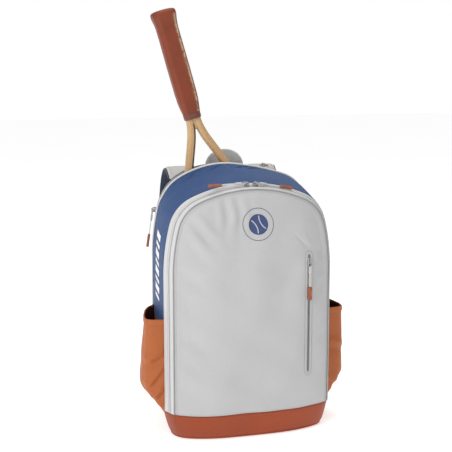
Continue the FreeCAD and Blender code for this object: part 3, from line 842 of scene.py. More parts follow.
def panel_folds(x, z, inset):
    """Soft folds of the front panel, in metres, forwards positive.

    Short upright folds hang from the crown, slanting folds fan out at the left corner, two creases
    leave the upper end of the small zip, and a slow swell keeps the cloth from looking flat.
    """
    fade = np.clip(inset / (14 * MM), 0, 1)
    hang = np.sin(x * 2 * math.pi / (24 * MM) + 0.6 * np.sin(z * 90)) * bump_at(x, -42 * MM, 30 * MM)
    hang = hang * bump_at(z, STATION_TOP[0] - 36 * MM, 34 * MM) * 2.2 * MM
    slant = np.sin((x * 0.75 + z * 0.66) * 2 * math.pi / (30 * MM)) * bump_at(x, -96 * MM, 24 * MM)
    slant = slant * bump_at(z, 372 * MM, 34 * MM) * 2.6 * MM
    creases = ((0.9, 340, 93, 4, 350, 12, -1.3), (0.6, 340, 103, 5, 352, 14, 1.0),
               (0.1, 240, -118, 7, 235, 46, -0.9))
    crease = 0.0
    for lean, pivot, at, wide, level, long, deep in creases:
        line = bump_at(x + lean * (z - pivot * MM), at * MM, wide * MM)
        crease = crease + line * bump_at(z, level * MM, long * MM) * deep * MM
    right = np.sin((z - 0.5 * x) * 2 * math.pi / (30 * MM)) * bump_at(x, 126 * MM, 12 * MM) * 1.5 * MM
    right = right * (bump_at(z, 300 * MM, 46 * MM) + 0.6 * bump_at(z, 170 * MM, 50 * MM))
    foot = np.sin(x * 2 * math.pi / (70 * MM) + 1.0) * bump_at(z, BOOT_TOP + 6 * MM, 22 * MM) * 0.7 * MM
    left = np.sin((z + 0.45 * x) * 2 * math.pi / (52 * MM) + 1.2) * bump_at(x, -112 * MM, 20 * MM) * 1.6 * MM
    left = left * (bump_at(z, 150 * MM, 60 * MM) + bump_at(z, 290 * MM, 40 * MM))
    slow = soft_noise(xyz(x, 0, z) * [1, 1, 0.6], 0.15, 11, 3) * 4.2 * MM
    zip_low, zip_high = corners("upright_zip")
    beside = bump_at(x, 0.5 * (zip_low[0] + zip_high[0]), 17 * MM)
    beside = beside * np.clip((z - zip_low[2] + 10 * MM) / (12 * MM), 0, 1)
    beside = beside * np.clip((zip_high[2] + 8 * MM - z) / (12 * MM), 0, 1)
    return (hang + slant + crease + right + left + foot + slow) * fade * (1 - beside) * sizes().wrinkle


class OBJECT_OT_backpack_front_panel(bpy.types.Operator):
    """Builds the swollen front panel, its piping and its top stitching"""

    bl_idname = "backpack.front_panel"
    bl_label = "Front panel"

    def execute(self, context):
        s = np.linspace(-1, 1, 421)[:, None]
        r = (np.linspace(0, 1, 110) ** 1.35)[None]
        x, y, z, inset = panel_point(s, r)
        y = y - panel_folds(x, z, inset)
        # Painted shade where the panel's edge turns under at the piping, and along its join with the boot.
        edge = np.exp(-inset / (3 * MM)) + 0.6 * bump_at(z, BOOT_TOP, 3 * MM)
        panel = grid_object("front_panel_cloth", xyz(x, y, z), "pale", flip=True, edge=np.clip(edge, 0, 1))
        thicken(panel, 2.0 * MM)
        finish_piece(panel, "bag", ["front_panel"])
        s = np.linspace(-1, 1, 600)
        path, normal = skin(s, FRONT_Y, -0.2 * MM)
        path = path + [0, -0.9 * MM, 0]
        # The piping cord takes the darkened pale cloth: its own grey and painted shade of the seam's groove.
        piping = tube_object("front_panel_piping_cord", path, (0, 1, 0), cord_profile(1.0 * MM),
                             "grey_piping")
        finish_piece(piping, "bag", ["front_panel_piping"])
        x, y, z, inset = panel_point(s, 5.0 * MM / STATION_W[0])
        row = xyz(x, y - panel_folds(x, z, inset) - 0.1 * MM, z)
        out = xyz(0.35 * normal[:, 0], -1, 0.35 * normal[:, 2])
        stitches("front_panel_stitches", row, out, "thread")
        return {"FINISHED"}


# ---------------------------------------------------------------- gussets
def band(name, s, y, lift, material, edge, thickness=2.0 * MM):
    """Cloth band on the body's skin: rows at share s, depth y and lift, with its thickness inwards."""
    points, _ = skin(s, y, lift)
    obj = grid_object(name, points, material, edge=edge)
    thicken(obj, thickness)
    return obj


def puffed(points, t, high, scale, seed, rough):
    """Height of a band's cloth: an arch across it, roughened by slow noise that also fades at both seams."""
    return (high + soft_noise(points, scale, seed, 2) * rough) * np.sin(math.pi * t)


def seam_shade(t, rows, size):
    """One at the rows of seams across a band, falling off on both sides."""
    return np.clip(sum(bump_at(t, row, size) for row in rows), 0, 1)


class OBJECT_OT_backpack_pocket_gusset(bpy.types.Operator):
    """Builds the pale gusset of the front pocket in two strips with the zip between them"""

    bl_idname = "backpack.pocket_gusset"
    bl_label = "Front pocket gusset"

    def execute(self, context):
        s = np.linspace(-1, 1, 481)[:, None]
        half = 0.5 * 3.0 * MM
        strips = (("front", FRONT_Y, FRONT_ZIP_Y - half), ("rear", FRONT_ZIP_Y + half, SEAM_Y - 0.3 * MM))
        for name, y0, y1 in strips:
            t = spread(14)[None]
            y = y0 + (y1 - y0) * t + 0 * s
            puff = 0.5 * MM * np.sin(math.pi * t) ** 0.7 + 0 * s
            points, _ = skin(s, y)
            puff = puff + soft_noise(points, 0.12, 21, 2) * 0.35 * MM * np.sin(math.pi * t)
            edge = 0.4 * seam_shade(t, (0, 1), 0.06)
            # The strips' cloth is the lightened pale cloth, painted light on the upward-facing strips.
            obj = band("pocket_gusset_" + name, s, y, puff, "strip", edge, 1.6 * MM)
            finish_piece(obj, "bag", ["front_pocket_gusset"] if name == "front" else ())
        # The pocket zip's tape and coil take the same lightened cloth, painted light.
        build_zip("pocket_zip", np.linspace(-0.9995, 0.9995, 1400), lambda s: FRONT_ZIP_Y - half,
                  lambda s: FRONT_ZIP_Y + half, ["front_zip"], paint=("strip", "strip"))
        s = np.linspace(-1, 1, 500)
        for name, y in (("a", FRONT_ZIP_Y - half - 1.6 * MM), ("b", FRONT_ZIP_Y + half + 1.6 * MM)):
            path, normal = skin(s, y, 0.9 * MM)
            stitches("pocket_zip_stitches_" + name, path, normal, "thread")
        return {"FINISHED"}


def build_zip(name, s, low_edge, high_edge, replaced, lift=lambda s: 0.0 * s, paint=("tape", "coil")):
    """Two tapes from the cloth's edges to the coil, and one row of coil turns on each tape's edge.

    A row is a flat ring carried along the zip whose size swings with the pitch, so each swing is a turn.
    """
    low, high = low_edge(s) + 0 * s, high_edge(s) + 0 * s
    reach = sizes().tape
    tapes, rows = [], []
    for tag, edge, way in (("a", low, 1), ("b", high, -1)):
        inner = edge + way * np.minimum(reach, 0.5 * np.abs(high - low))
        t = np.linspace(0, 1, 5)[None]
        y = edge[:, None] - way * 1.5 * MM * (1 - t) + (inner - edge)[:, None] * t
        points, _ = skin(s[:, None] + 0 * y, y, -0.25 * MM + 0.1 * MM * t + lift(s)[:, None])
        tapes.append(grid_object(name + "_tape_" + tag, points, paint[0], flip=way < 0))
        total = np.linalg.norm(np.diff(skin(s, inner)[0], axis=0), axis=1).sum()
        fine = np.linspace(s[0], s[-1], int(total / sizes().tooth * 3))
        path, normal = skin(fine, np.interp(fine, s, inner) - way * 0.55 * MM, 0.55 * MM + lift(fine))
        swing = 1.0 + 0.28 * np.cos(np.arange(len(fine)) * 2 * math.pi / 3 + (0 if way > 0 else math.pi))
        turn = sweep(path, normal, ring_profile(0.85 * MM, 0.75 * MM, count=6), swing)
        rows.append(grid_object(name + "_coil_" + tag, turn, paint[1], closed=(False, True)))
    tape = join(name + "_tape", tapes)
    thicken(tape, 0.6 * MM)
    finish_piece(tape, "bag", replaced)
    finish_piece(outward(join(name + "_coil", rows)), "bag")


def gusset_folds(points, s, t):
    """Folds of the blue side: slow dents, a few puckers just under the zip and a pull towards the pocket."""
    slow = soft_noise(points, 0.17, 31, 2) * 1.3 * MM
    fine = soft_noise(points, 0.06, 32, 2) * 0.35 * MM
    near = bump_at(t, 0.86, 0.10)
    lean = s - 0.25 * (t - 0.9)
    puckers = sum(bump_at(lean, at, 0.009) for at in (-0.15, -0.067, 0.03, 0.075)) * near * -4.2 * MM
    ripples = np.sin(s * 190 + 4 * np.sin(s * 37)) * near * gap(s) * 0.8 * MM
    return (slow + fine) * np.sin(math.pi * t) ** 0.6 + puckers + ripples


class OBJECT_OT_backpack_main_gusset(bpy.types.Operator):
    """Builds the blue gusset, the clay side panels, the navy rear gusset, the main zip and its piping"""

    bl_idname = "backpack.main_gusset"
    bl_label = "Main compartment walls"

    def execute(self, context):
        seam = share_at_height(GUSSET_LOW[2] - 4 * MM, ZIP_W, ZIP_TOP)
        s = np.linspace(-seam, seam, 561)[:, None]
        t = spread(46)[None]
        y = SEAM_Y + (front_edge(s) - SEAM_Y) * t
        points, _ = skin(s, y)
        swell_by = 2.2 * MM * np.sin(math.pi * t) + gusset_folds(points, s, t) * sizes().wrinkle
        swell_by = swell_by + rise(s) * t ** 1.6
        # Painted shade at both seams of the band and at its ends by the side panels.
        edge = seam_shade(t, (0, 1), 0.03) * 0.9 + bump_at(np.abs(s), seam, 0.004)
        blue = band("main_gusset_cloth", s, y, swell_by, "blue", np.clip(edge, 0, 1))
        finish_piece(blue, "bag", ["main_gusset_front"])
        for name, hand in (("left", -1), ("right", 1)):
            down = (hand * np.linspace(seam, 1.0, 60)[:: hand])[:, None]
            y = SEAM_Y + (front_edge(down) - SEAM_Y) * t
            points, _ = skin(down, y)
            puff = puffed(points, t, 1.6 * MM, 0.12, 41, 0.8 * MM)
            edge = seam_shade(t, (0, 1), 0.03)
            panel = band("side_panel_cloth_" + name, down, y, puff, "pocket", edge)
            finish_piece(panel, "bag", ["side_panel_" + name])
        s = np.linspace(-1, 1, 621)[:, None]
        t = spread(24)[None]
        y = rear_edge(s) + (BACK_Y - rear_edge(s)) * t
        points, _ = skin(s, y)
        puff = puffed(points, t, 1.6 * MM, 0.1, 51, 0.8 * MM)
        puff = puff + (rise(s) + 3.0 * MM * gap(s) * bump_at(s, -0.15, 0.10)) * (1 - t) ** 1.4
        rear = band("rear_gusset_cloth", s, y, puff, "navy", seam_shade(t, (0, 1), 0.06))
        finish_piece(rear, "bag", ["main_gusset_rear"])
        low = share_at_height(ZIP_FOOT, ZIP_W, ZIP_TOP)
        build_zip("main_zip", np.linspace(-low, low, 1500), front_edge, rear_edge, ["main_zip"],
                  lambda s: rise(s) * gap(s))
        s = np.linspace(-1, 1, 700)
        path, _ = skin(s, front_edge(s) - 0.6 * MM, 0.9 * MM + rise(s))
        piping = tube_object("main_piping_cord", path, (0, 1, 0), cord_profile(sizes().piping, 12), "piping")
        finish_piece(piping, "bag", ["main_piping"])
        s = np.linspace(-seam, seam, 600)
        for name, y in (("front", SEAM_Y + 4.0 * MM + 0 * s), ("rear", front_edge(s) - 5.0 * MM)):
            share = (y - SEAM_Y) / (front_edge(s) - SEAM_Y)
            path, normal = skin(s, y, 1.0 * MM + rise(s) * share ** 1.6)
            stitches("blue_stitches_" + name, path, normal, "blue_thread")
        return {"FINISHED"}


# ---------------------------------------------------------------- foot
def round_corners(line, reach):
    """Mean along a closed line, weighted by a bell that reaches this many points each way."""
    kernel = np.hanning(2 * reach + 3)[1:-1]
    kernel /= kernel.sum()
    wrapped = np.concatenate([line[-reach:], line, line[:reach]])
    return np.stack([np.convolve(wrapped[:, k], kernel, "valid") for k in range(2)], -1)


def plan_outline():
    """Foot outline seen from above, from the front middle by the right: swollen front, straight sides."""
    count = 480
    x = np.linspace(-1, 1, 121) * STATION_W[0]
    front = np.stack([x, FRONT_Y - BULGE * dome(1 - np.abs(x) / STATION_W[0])], -1)
    right = np.stack([STATION_W[1:], STATION_Y[1:]], -1)
    left = right[::-1] * [-1, 1]
    line = np.concatenate([front, right, left, front[:1]])
    line = resample(np.pad(line, ((0, 0), (0, 1))), count + 1)[:-1, :2]
    line = np.roll(line, -count // 6, 0)
    total = np.linalg.norm(np.diff(line, axis=0, append=line[:1]), axis=1).sum()
    return round_corners(line, int(20 * MM / total * count))


def foot_share(z):
    """How far the boot has gone from its seam's outline (0) to the foot's outline (1) at height z."""
    turn = np.arccos(np.clip(1 - z / FOOT_ROUND, 0, 1))
    return 0.62 * (1 - z / BOOT_TOP) + 0.38 * (1 - np.sin(turn))


def foot_outline(line):
    """Outline on the ground: narrower than the seam's, most of all at the back, with rounder corners."""
    back = np.clip((line[:, 1] - FRONT_Y) / (BACK_Y - FRONT_Y), 0, 1)
    foot = np.stack([line[:, 0] * (FOOT_FRONT - FOOT_TAPER * back), line[:, 1] * 0.86 + 1 * MM], -1)
    return round_corners(foot, 15)


def outline_normal(line):
    """Outward direction of a closed outline that runs anticlockwise seen from above."""
    t = np.roll(line, -1, 0) - np.roll(line, 1, 0)
    return unit(np.stack([t[:, 1], -t[:, 0]], -1))


class OBJECT_OT_backpack_foot(bpy.types.Operator):
    """Builds the clay boot round the foot, its bottom panel and its seams"""

    bl_idname = "backpack.foot"
    bl_label = "Foot"

    def execute(self, context):
        line = plan_outline()
        normal = outline_normal(line)
        v = np.linspace(0, 1, 34)
        bend = 0.42
        turn = np.clip(v / bend, 0, 1)
        straight = FOOT_ROUND + (BOOT_TOP - FOOT_ROUND) * (v - bend) / (1 - bend)
        z = np.where(v < bend, FOOT_ROUND * (1 - np.cos(turn * 0.5 * math.pi)), straight)
        foot = foot_outline(line)
        reach = foot_share(z)[None]
        proud = 1.2 * MM * np.sin(np.clip((v - 0.3) / 0.7, 0, 1) * math.pi) - 1.0 * MM * bump_at(v, 1.0, 0.05)
        drawn = waist(line[:, None, 1], z[None]) * np.abs(normal[:, :1]) * (1 - reach)
        out = proud[None] - drawn
        x, y = (line[:, None, k] + (foot - line)[:, None, k] * reach + normal[:, None, k] * out
                for k in (0, 1))
        flat = xyz(x, y, z)
        folds = soft_noise(flat, 0.11, 61, 3) * 1.1 * MM * sizes().wrinkle
        folds = folds * np.sin(np.clip(v, 0.02, 1) * math.pi)
        flat[..., :2] += normal[:, None] * folds[..., None]
        flat[..., 2] = np.maximum(flat[..., 2], 0.0)
        # Painted shade at the boot's top seam and in a line along the seam bead near the floor.
        edge = seam_shade(v[None] + 0 * x, (1.0,), 0.04) + 0.7 * bump_at(v[None] + 0 * x, 0.16, 0.03)
        # Painted shade down each front corner of the boot, where a groove would shade.
        corner = line[:, 1:] < SEAM_Y - 12 * MM
        edge = edge + bump_at(np.abs(line[:, :1]), STATION_W[0] - 1 * MM, 1.0 * MM) * corner
        boot = grid_object("base_boot_cloth", flat, "clay", closed=(True, False), edge=np.clip(edge, 0, 1))
        thicken(boot, 2.0 * MM)
        finish_piece(boot, "bag", ["base_boot"])
        k = np.linspace(0.0, 1.0, 24)[None, :, None]
        rim = xyz(foot[:, 0] * 0.995, foot[:, 1] * 0.995, 0.25 * MM)
        centre = FOOT_CENTRE + [0, 0, 0.25 * MM]
        # Painted shade round the bottom panel's rim.
        panel = grid_object("base_panel_cloth", rim[:, None] * (1 - k) + centre * k, "clay",
                            closed=(True, False), edge=(1 - k[..., 0]) ** 8)
        finish_piece(panel, "bag", ["base_panel"])
        orient(panel, (0, 0, -1))
        thicken(panel, 1.6 * MM)
        bead_z = 3.2 * MM
        low = line + (foot - line) * foot_share(bead_z)
        bead = tube_object("base_seam_bead", xyz(low[:, 0], low[:, 1], bead_z), (0, 0, 1),
                           cord_profile(1.1 * MM, 8), "clay", closed=True)
        finish_piece(bead, "bag")
        inner = foot * 0.93
        k = np.linspace(0, 1, 6)[None, :, None]
        faces = []
        for z in (5.2 * MM, 8.2 * MM):
            flat = xyz(inner[:, 0], inner[:, 1], z)[:, None]
            faces.append(flat * (1 - k) + (FOOT_CENTRE + [0, 0, z]) * k)
        board = np.concatenate([faces[0][:, ::-1], faces[1]], 1)
        board = outward(grid_object("base_board_core", board, "board", closed=(True, False)))
        finish_piece(board, "bag", ["base_board"])
        high = BOOT_TOP - 5 * MM
        row = line + (foot - line) * foot_share(high)
        row = row + normal * (1.0 * MM - waist(line[:, 1], high) * np.abs(normal[:, 0]))[:, None]
        out = xyz(normal[:, 0], normal[:, 1], 0.1)
        stitches("base_boot_stitches", xyz(row[:, 0], row[:, 1], high), out, "clay_thread")
        return {"FINISHED"}


def orient(obj, direction):
    """Turns an open sheet so that its faces look along a direction."""
    if read(obj.data.polygons, "normal").mean(0) @ np.array(direction) < 0:
        obj.data.flip_normals()


# ---------------------------------------------------------------- side pockets
def pocket_depth(y, z):
    """How far the pocket stands out at depth y and height z.

    The plan rises steeply at the front seam and tapers towards the rear; it is fuller at mid height than
    at the mouth, and narrows in a straight line to nothing at its foot.
    """
    at = np.array([-49, -46, -40, -24, -8, 15, 30, 43]) * MM
    mouth = np.interp(y, at, np.array([0, 22, 31, 32, 29, 23, 15, 0]) * MM)
    middle = np.interp(y, at, np.array([0, 24, 33, 39, 40, 36, 26, 0]) * MM)
    high = np.clip((z - 95 * MM) / (115 * MM), 0, 1)
    return (middle + (mouth - middle) * high) * pocket_foot(z)


def pocket_foot(z):
    """Share of the pocket's full depth at height z near its foot."""
    return np.interp(z, np.array([44, 50, 86, 100]) * MM, [0.08, 0.22, 0.95, 1.0])


def pocket_root(y, z):
    """Half width of the body where the pocket is sewn on."""
    return np.interp(y, STATION_Y, STATION_W) - 1.0 * MM - waist(y, z)


def mouth_line(u, below=0.0):
    """Height of the pocket's mouth, which climbs to the rear, or of a line below it."""
    return HEM_TOP - below + 8 * MM * u ** 1.5


def pocket_point(u, z, hand):
    """Side pocket from its front seam (u 0) to its rear seam (u 1), spaced more closely near both seams."""
    y = (-49.0 + 92.0 * (0.5 - 0.5 * np.cos(math.pi * u))) * MM
    return xyz(hand * (pocket_root(y, z) + pocket_depth(y, z)), y, z)


def pocket_folds(out, z, u):
    """Slanting folds on the pocket's front face, in metres, outwards positive, by distance out from the seam.

    Four drag lines run down and outwards from the seam, each a valley with a softer ridge below it.
    """
    total = 0.0
    for level, slope, deep in ((154, 0.34, 5.2), (129, 1.1, 4.2), (90, 0.8, 5.4), (66, 0.5, 2.4)):
        d = z - level * MM + slope * out
        total = total + (bump_at(d, -12 * MM, 9 * MM) * 0.8 - bump_at(d, 0, 8 * MM)) * deep * MM
    width = 38 * MM * pocket_foot(z)
    reach = np.sin(math.pi * np.clip(out / width, 0, 1)) ** 0.8
    rear = np.sin((z + 60 * MM * u) * 2 * math.pi / (58 * MM)) * bump_at(u, 0.78, 0.12) * 1.2 * MM
    return total * reach * (u < 0.45) * bump_at(u, 0.1, 0.2) + rear * np.clip((z - 50 * MM) / (30 * MM), 0, 1)


def soften(points, axis, rounds):
    """Running mean along an axis of a grid, with the ends kept."""
    for _ in range(rounds):
        moved = np.moveaxis(points, axis, 0)
        middle = 0.25 * moved[:-2] + 0.5 * moved[1:-1] + 0.25 * moved[2:]
        points = np.moveaxis(np.concatenate([moved[:1], middle, moved[-1:]]), 0, axis)
    return points


class OBJECT_OT_backpack_side_pockets(bpy.types.Operator):
    """Builds both side pockets with their bound mouths"""

    bl_idname = "backpack.side_pockets"
    bl_label = "Side pockets"

    def execute(self, context):
        hems = []
        for name, hand, seed in (("left", -1, 71), ("right", 1, 75)):
            u = np.linspace(0, 1, 141)[:, None]
            v = np.linspace(0, 1, 120)[None]
            z = POCKET_FOOT + (mouth_line(u) - POCKET_FOOT) * v ** 0.9
            points = soften(soften(pocket_point(u, z, hand), 0, 10), 1, 6)
            out = np.abs(points[..., 0]) - pocket_root(points[..., 1], points[..., 2])
            folds = pocket_folds(out, z, u) * (1.0 if hand < 0 else 0.6)
            fade = np.sin(math.pi * u) * np.sin(math.pi * v) ** 0.5
            dents = soft_noise(points, 0.11, seed, 2) * 1.3 * MM * fade
            away = unit(np.cross(np.gradient(points, axis=0), np.gradient(points, axis=1))) * -hand
            points = points + away * (folds + dents)[..., None] * sizes().wrinkle
            # Painted shade at both seams and in a line just under the bound mouth.
            edge = seam_shade(u + 0 * v, (0, 1), 0.03) + bump_at(v + 0 * u, 0.955, 0.012)
            pocket = grid_object("side_pocket_cloth_" + name, points, "pocket", flip=hand < 0,
                                 edge=np.clip(edge, 0, 1))
            # The inner faces get the darkened clay cloth, painted shade inside the pocket.
            pocket.data.materials.append(MATERIALS["pocket_inside"])
            thicken(pocket, 1.8 * MM).modifiers["Thickness"].material_offset = 1
            finish_piece(pocket, "bag", ["side_pocket_" + name])
            u = np.linspace(0.01, 0.99, 160)
            path = soften(pocket_point(u, mouth_line(u, 4.4 * MM), hand), 0, 10)
            hems.append(tube_object("pocket_hem_cloth_" + name, path, (0, 0, 1),
                                    ring_profile(1.3 * MM, 5.0 * MM, 3.6, 14), "pocket"))
            row = soften(pocket_point(u, mouth_line(u, 8.2 * MM), hand), 0, 10)
            row[:, 0] += hand * 1.45 * MM
            out = np.cross(np.gradient(row, axis=0), (0, 0, 1))
            stitches("pocket_hem_stitches_" + name, row, out, "clay_thread")
        for i, hem in enumerate(hems):
            finish_piece(hem, "bag", ["pocket_hems"] if i == 0 else ())
        return {"FINISHED"}


# ---------------------------------------------------------------- back
class OBJECT_OT_backpack_back(bpy.types.Operator):
    """Builds the back panel with its edge binding, the back pads, the lumbar pad and the yoke"""

    bl_idname = "backpack.back"
    bl_label = "Back"

    def execute(self, context):
        s = np.linspace(-1, 1, 321)[:, None]
        r = (np.linspace(0, 1, 60) ** 1.3)[None]
        w, top = STATION_W[3], STATION_TOP[3]
        x, z, _, _ = arch(s, w * (1 - r), top - w * r, BACK_LOW[2])
        x = x * tuck(z)
        y = BACK_Y + 0.4 * MM + 2.0 * MM * (1 - (1 - r) ** 3)
        y = y + soft_noise(xyz(x, 0, z), 0.16, 81, 2) * 0.4 * MM
        # Painted shade along the edge binding.
        panel = grid_object("back_panel_cloth", xyz(x, y, z), "navy", edge=np.exp(-w * r / (3 * MM)))
        orient(panel, (0, 1, 0))
        thicken(panel, 1.6 * MM)
        finish_piece(panel, "bag", ["back_panel"])
        line = np.linspace(-1, 1, 500)
        x, z, nx, nz = arch(line, w, top, BACK_LOW[2])
        x = x * tuck(z)
        path = xyz(x + nx * 0.6 * MM, BACK_Y + 0.8 * MM, z + nz * 0.6 * MM)
        foot = xyz(np.linspace(path[-1, 0], path[0, 0], 80), path[-1, 1], path[-1, 2])
        loop = resample(np.concatenate([path, foot[1:-1], path[:1]]), 581)[:-1]
        binding = tube_object("back_binding", loop, (0, 1, 0), cord_profile(2.0 * MM), "web", closed=True)
        finish_piece(binding, "bag")
        quarters = (0.25, 0.5, 0.75)
        pads = {"back_pad_left": quarters, "back_pad_right": quarters, "lumbar_pad": (0.5,)}
        for node, channels in pads.items():
            finish_piece(soft_pad(node, channels), "bag", [node])
        finish_piece(slab("strap_yoke_cloth", *corners("strap_yoke")), "bag", ["strap_yoke"])
        return {"FINISHED"}


def tuck(z):
    """Share of the width left at height z where the back panel narrows to meet the foot."""
    return 1 - waist(BACK_Y, z) / STATION_W[3] - (0.07 + FOOT_TAPER) * foot_share(np.clip(z, 0, BOOT_TOP))


def rounded_box(low, high, power, count):
    """Squared ellipsoid that fills a box: powers of sines and cosines of two angles."""
    u = turns(2 * count)[:, None]
    v = np.linspace(-0.5 * math.pi, 0.5 * math.pi, count)[None]
    out = root(np.cos(v), power)
    shape = xyz(out * root(np.cos(u), power), root(np.sin(v), power), out * root(np.sin(u), power))
    return 0.5 * (low + high) + 0.5 * (high - low) * shape


def soft_pad(node, channels):
    """Foam pad swollen by cloth simulation, then quilted with sewn channels across it."""
    low, high = corners(node)
    low, high = low + [2 * MM, 0.2 * MM, 2 * MM], high - [2 * MM, 2.6 * MM, 2 * MM]
    pad = outward(grid_object(node + "_cloth", rounded_box(low, high, 9.0, 60), "mesh", closed=(True, False)))
    swell(pad, 4.5 * MM, 3.0, 3.5 * MM)
    modifier = pad.modifiers.new("Smooth", "SUBSURF")
    modifier.levels = modifier.render_levels = 1
    apply_modifiers(pad)
    co = read(pad.data.vertices, "co")
    raised = np.clip((co[:, 1] - low[1]) / (high[1] - low[1]), 0, 1)
    for share in channels:
        co[:, 1] -= raised * 3.2 * MM * bump_at(co[:, 2], low[2] + share * (high[2] - low[2]), 3.2 * MM)
    co[:, 1] = np.maximum(co[:, 1], BACK_Y + 1.0 * MM)
    write(pad, co, smooth=True)
    return pad


def slab(name, low, high):
    """Thin sewn-down webbing patch with soft edges."""
    return outward(grid_object(name, rounded_box(low, high, 14.0, 40), "web", closed=(True, False)))


# ---------------------------------------------------------------- shoulder straps and handle
# middle line of the right strap (x, y, z, width) in millimetres, from the top seam down
STRAP_LINE = np.array([
    (76, 110.5, 436, 60), (76, 113, 443, 60), (76, 121, 452, 62), (77, 133, 460, 62), (78, 147, 456, 62),
    (80, 156, 438, 62), (83, 159, 400, 62), (89, 153, 330, 60), (95, 143, 260, 58), (99, 132, 205, 54),
    (101, 126.5, 180, 46), (101, 124, 168, 34)]) * MM
STRAP_RINGS = 150


class OBJECT_OT_backpack_straps(bpy.types.Operator):
    """Builds both padded shoulder straps, their edge bindings and webbings, and gives the ladder locks their
    finish
    """

    bl_idname = "backpack.straps"
    bl_label = "Shoulder straps"

    def execute(self, context):
        for name, hand in (("left", -1), ("right", 1)):
            self.strap(name, hand)
            self.webbing(name, hand)
        return {"FINISHED"}

    def strap(self, name, hand):
        line = smooth_path(STRAP_LINE, STRAP_RINGS)
        path, width = line[:, :3] * [hand, 1, 1], line[:, 3]
        side = np.broadcast_to(np.array([1.0, 0, 0]), path.shape)
        out = unit(np.cross(side, unit(np.gradient(path, axis=0))))
        out *= np.sign(out[STRAP_RINGS // 2, 1])
        profile = ring_profile(0.5, 1.0, 3.0, 44)
        step = np.arange(STRAP_RINGS)
        ends = np.minimum(1, np.minimum(step, step[::-1]) / 3 + 0.35)
        quilt = 1 + 0.05 * np.cos(step * 2 * math.pi / 24)
        thick = 5.6 * MM * ends * quilt
        points = path[:, None] + side[:, None] * profile[None, :, :1] * width[:, None, None]
        points = points + out[:, None] * profile[None, :, 1:] * thick[:, None, None]
        caps = [np.broadcast_to(p.mean(0), p.shape)[None] for p in (points[0], points[-1])]
        points = np.concatenate([caps[0], points, caps[1]])
        strap = outward(grid_object("shoulder_strap_pad_" + name, points, "strap", closed=(False, True)))
        strap.data.materials.append(MATERIALS["mesh"])
        centres = read(strap.data.polygons, "center")
        nearest = np.argmin(np.linalg.norm(centres[:, None, 1:] - path[None, ::2, 1:], axis=2), axis=1) * 2
        inner = ((centres - path[nearest]) * out[nearest]).sum(1) < 0
        strap.data.polygons.foreach_set("material_index", inner.astype(np.int32))
        finish_piece(strap, "strap_" + name, ["shoulder_strap_" + name])
        for tag, way in (("a", -1), ("b", 1)):
            edge = path + side * (way * 0.497) * width[:, None]
            binding = tube_object("strap_binding_" + name + "_" + tag, edge[2:-2], out[2:-2],
                                  ring_profile(1.7 * MM, 2.4 * MM, 2.6, 10), "web")
            finish_piece(binding, "strap_" + name)
            row = path + side * (way * 0.40) * width[:, None] + out * (thick * 0.93)[:, None]
            stitches("strap_stitches_" + name + "_" + tag, row[6:-6], out[6:-6], "thread",
                     "strap_" + name)

    def webbing(self, name, hand):
        x, y, z = STRAP_LINE[-1, :3]
        paint_node("strap_lock_" + name, "buckle")
        web = [(x, y - 5 * MM, z + 14 * MM), (x, y - 8 * MM, z - 8 * MM), (x + 2 * MM, 116 * MM, 130 * MM),
               (x + 8 * MM, 110.5 * MM, 92 * MM), (x + 15 * MM, 107.9 * MM, 56 * MM)]
        tail = [(x, y - 4 * MM, z - 10 * MM), (x, y + 2 * MM, z - 22 * MM),
                (x + 0.5 * MM, y + 4.4 * MM, z - 44 * MM),
                (x + 1 * MM, y + 4.5 * MM, 104 * MM), (x + 2 * MM, y + 2.5 * MM, 67 * MM)]
        profile = ring_profile(12.5 * MM, 0.9 * MM, 5.0, 24)
        pieces = []
        for tag, points in (("web", web), ("tail", tail)):
            path = smooth_path(points, 60) * [hand, 1, 1]
            pieces.append(tube_object("strap_" + tag + "_" + name, path, (0, 1, 0), profile, "web"))
        fold = np.array(tail[-1]) * [hand, 1, 1]
        hem = np.linspace(fold + [0, 0, 9 * MM], fold + [0, 0, 0.4 * MM], 8)
        stop = tube_object("strap_tail_hem_" + name, hem, (0, 1, 0),
                           ring_profile(12.6 * MM, 2.1 * MM, 4.0, 20), "web")
        finish_piece(pieces[1], "strap_" + name, ["strap_web_" + name])
        finish_piece(stop, "strap_" + name)
        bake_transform(pieces[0])
        near, far = sorted((hand * 0.101, hand * 0.137))
        anchor = slab("strap_anchor_cloth_" + name, np.array([near, 0.1031, 0.030]),
                      np.array([far, 0.1061, 0.064]))
        finish_piece(anchor, "bag", ["strap_anchors"] if hand < 0 else ())


class OBJECT_OT_backpack_handle(bpy.types.Operator):
    """Builds the padded webbing handle behind the top seam"""

    bl_idname = "backpack.handle"
    bl_label = "Grab handle"

    def execute(self, context):
        low, high = corners("grab_handle")
        y = 0.5 * (low[1] + high[1])
        a = np.linspace(0, math.pi, 90)
        half, crest = high[0] - 8.5 * MM, high[2] - 11.2 * MM
        spring = low[2] + 14 * MM
        x = -half * np.cos(a)
        z = spring + (crest - spring) * np.sin(a) ** 0.8
        foot = np.linspace(low[2], spring, 12)[:-1]
        path_x = np.concatenate([np.full(11, -half), x, np.full(11, half)])
        path_z = np.concatenate([foot, z, foot[::-1]])
        path = resample(xyz(path_x, y, path_z), 120)
        handle = tube_object("grab_handle_webbing", path, (0, 1, 0),
                             ring_profile(11.4 * MM, 2.1 * MM, 3.4, 26), "handle")
        finish_piece(handle, "handle", ["grab_handle"])
        return {"FINISHED"}


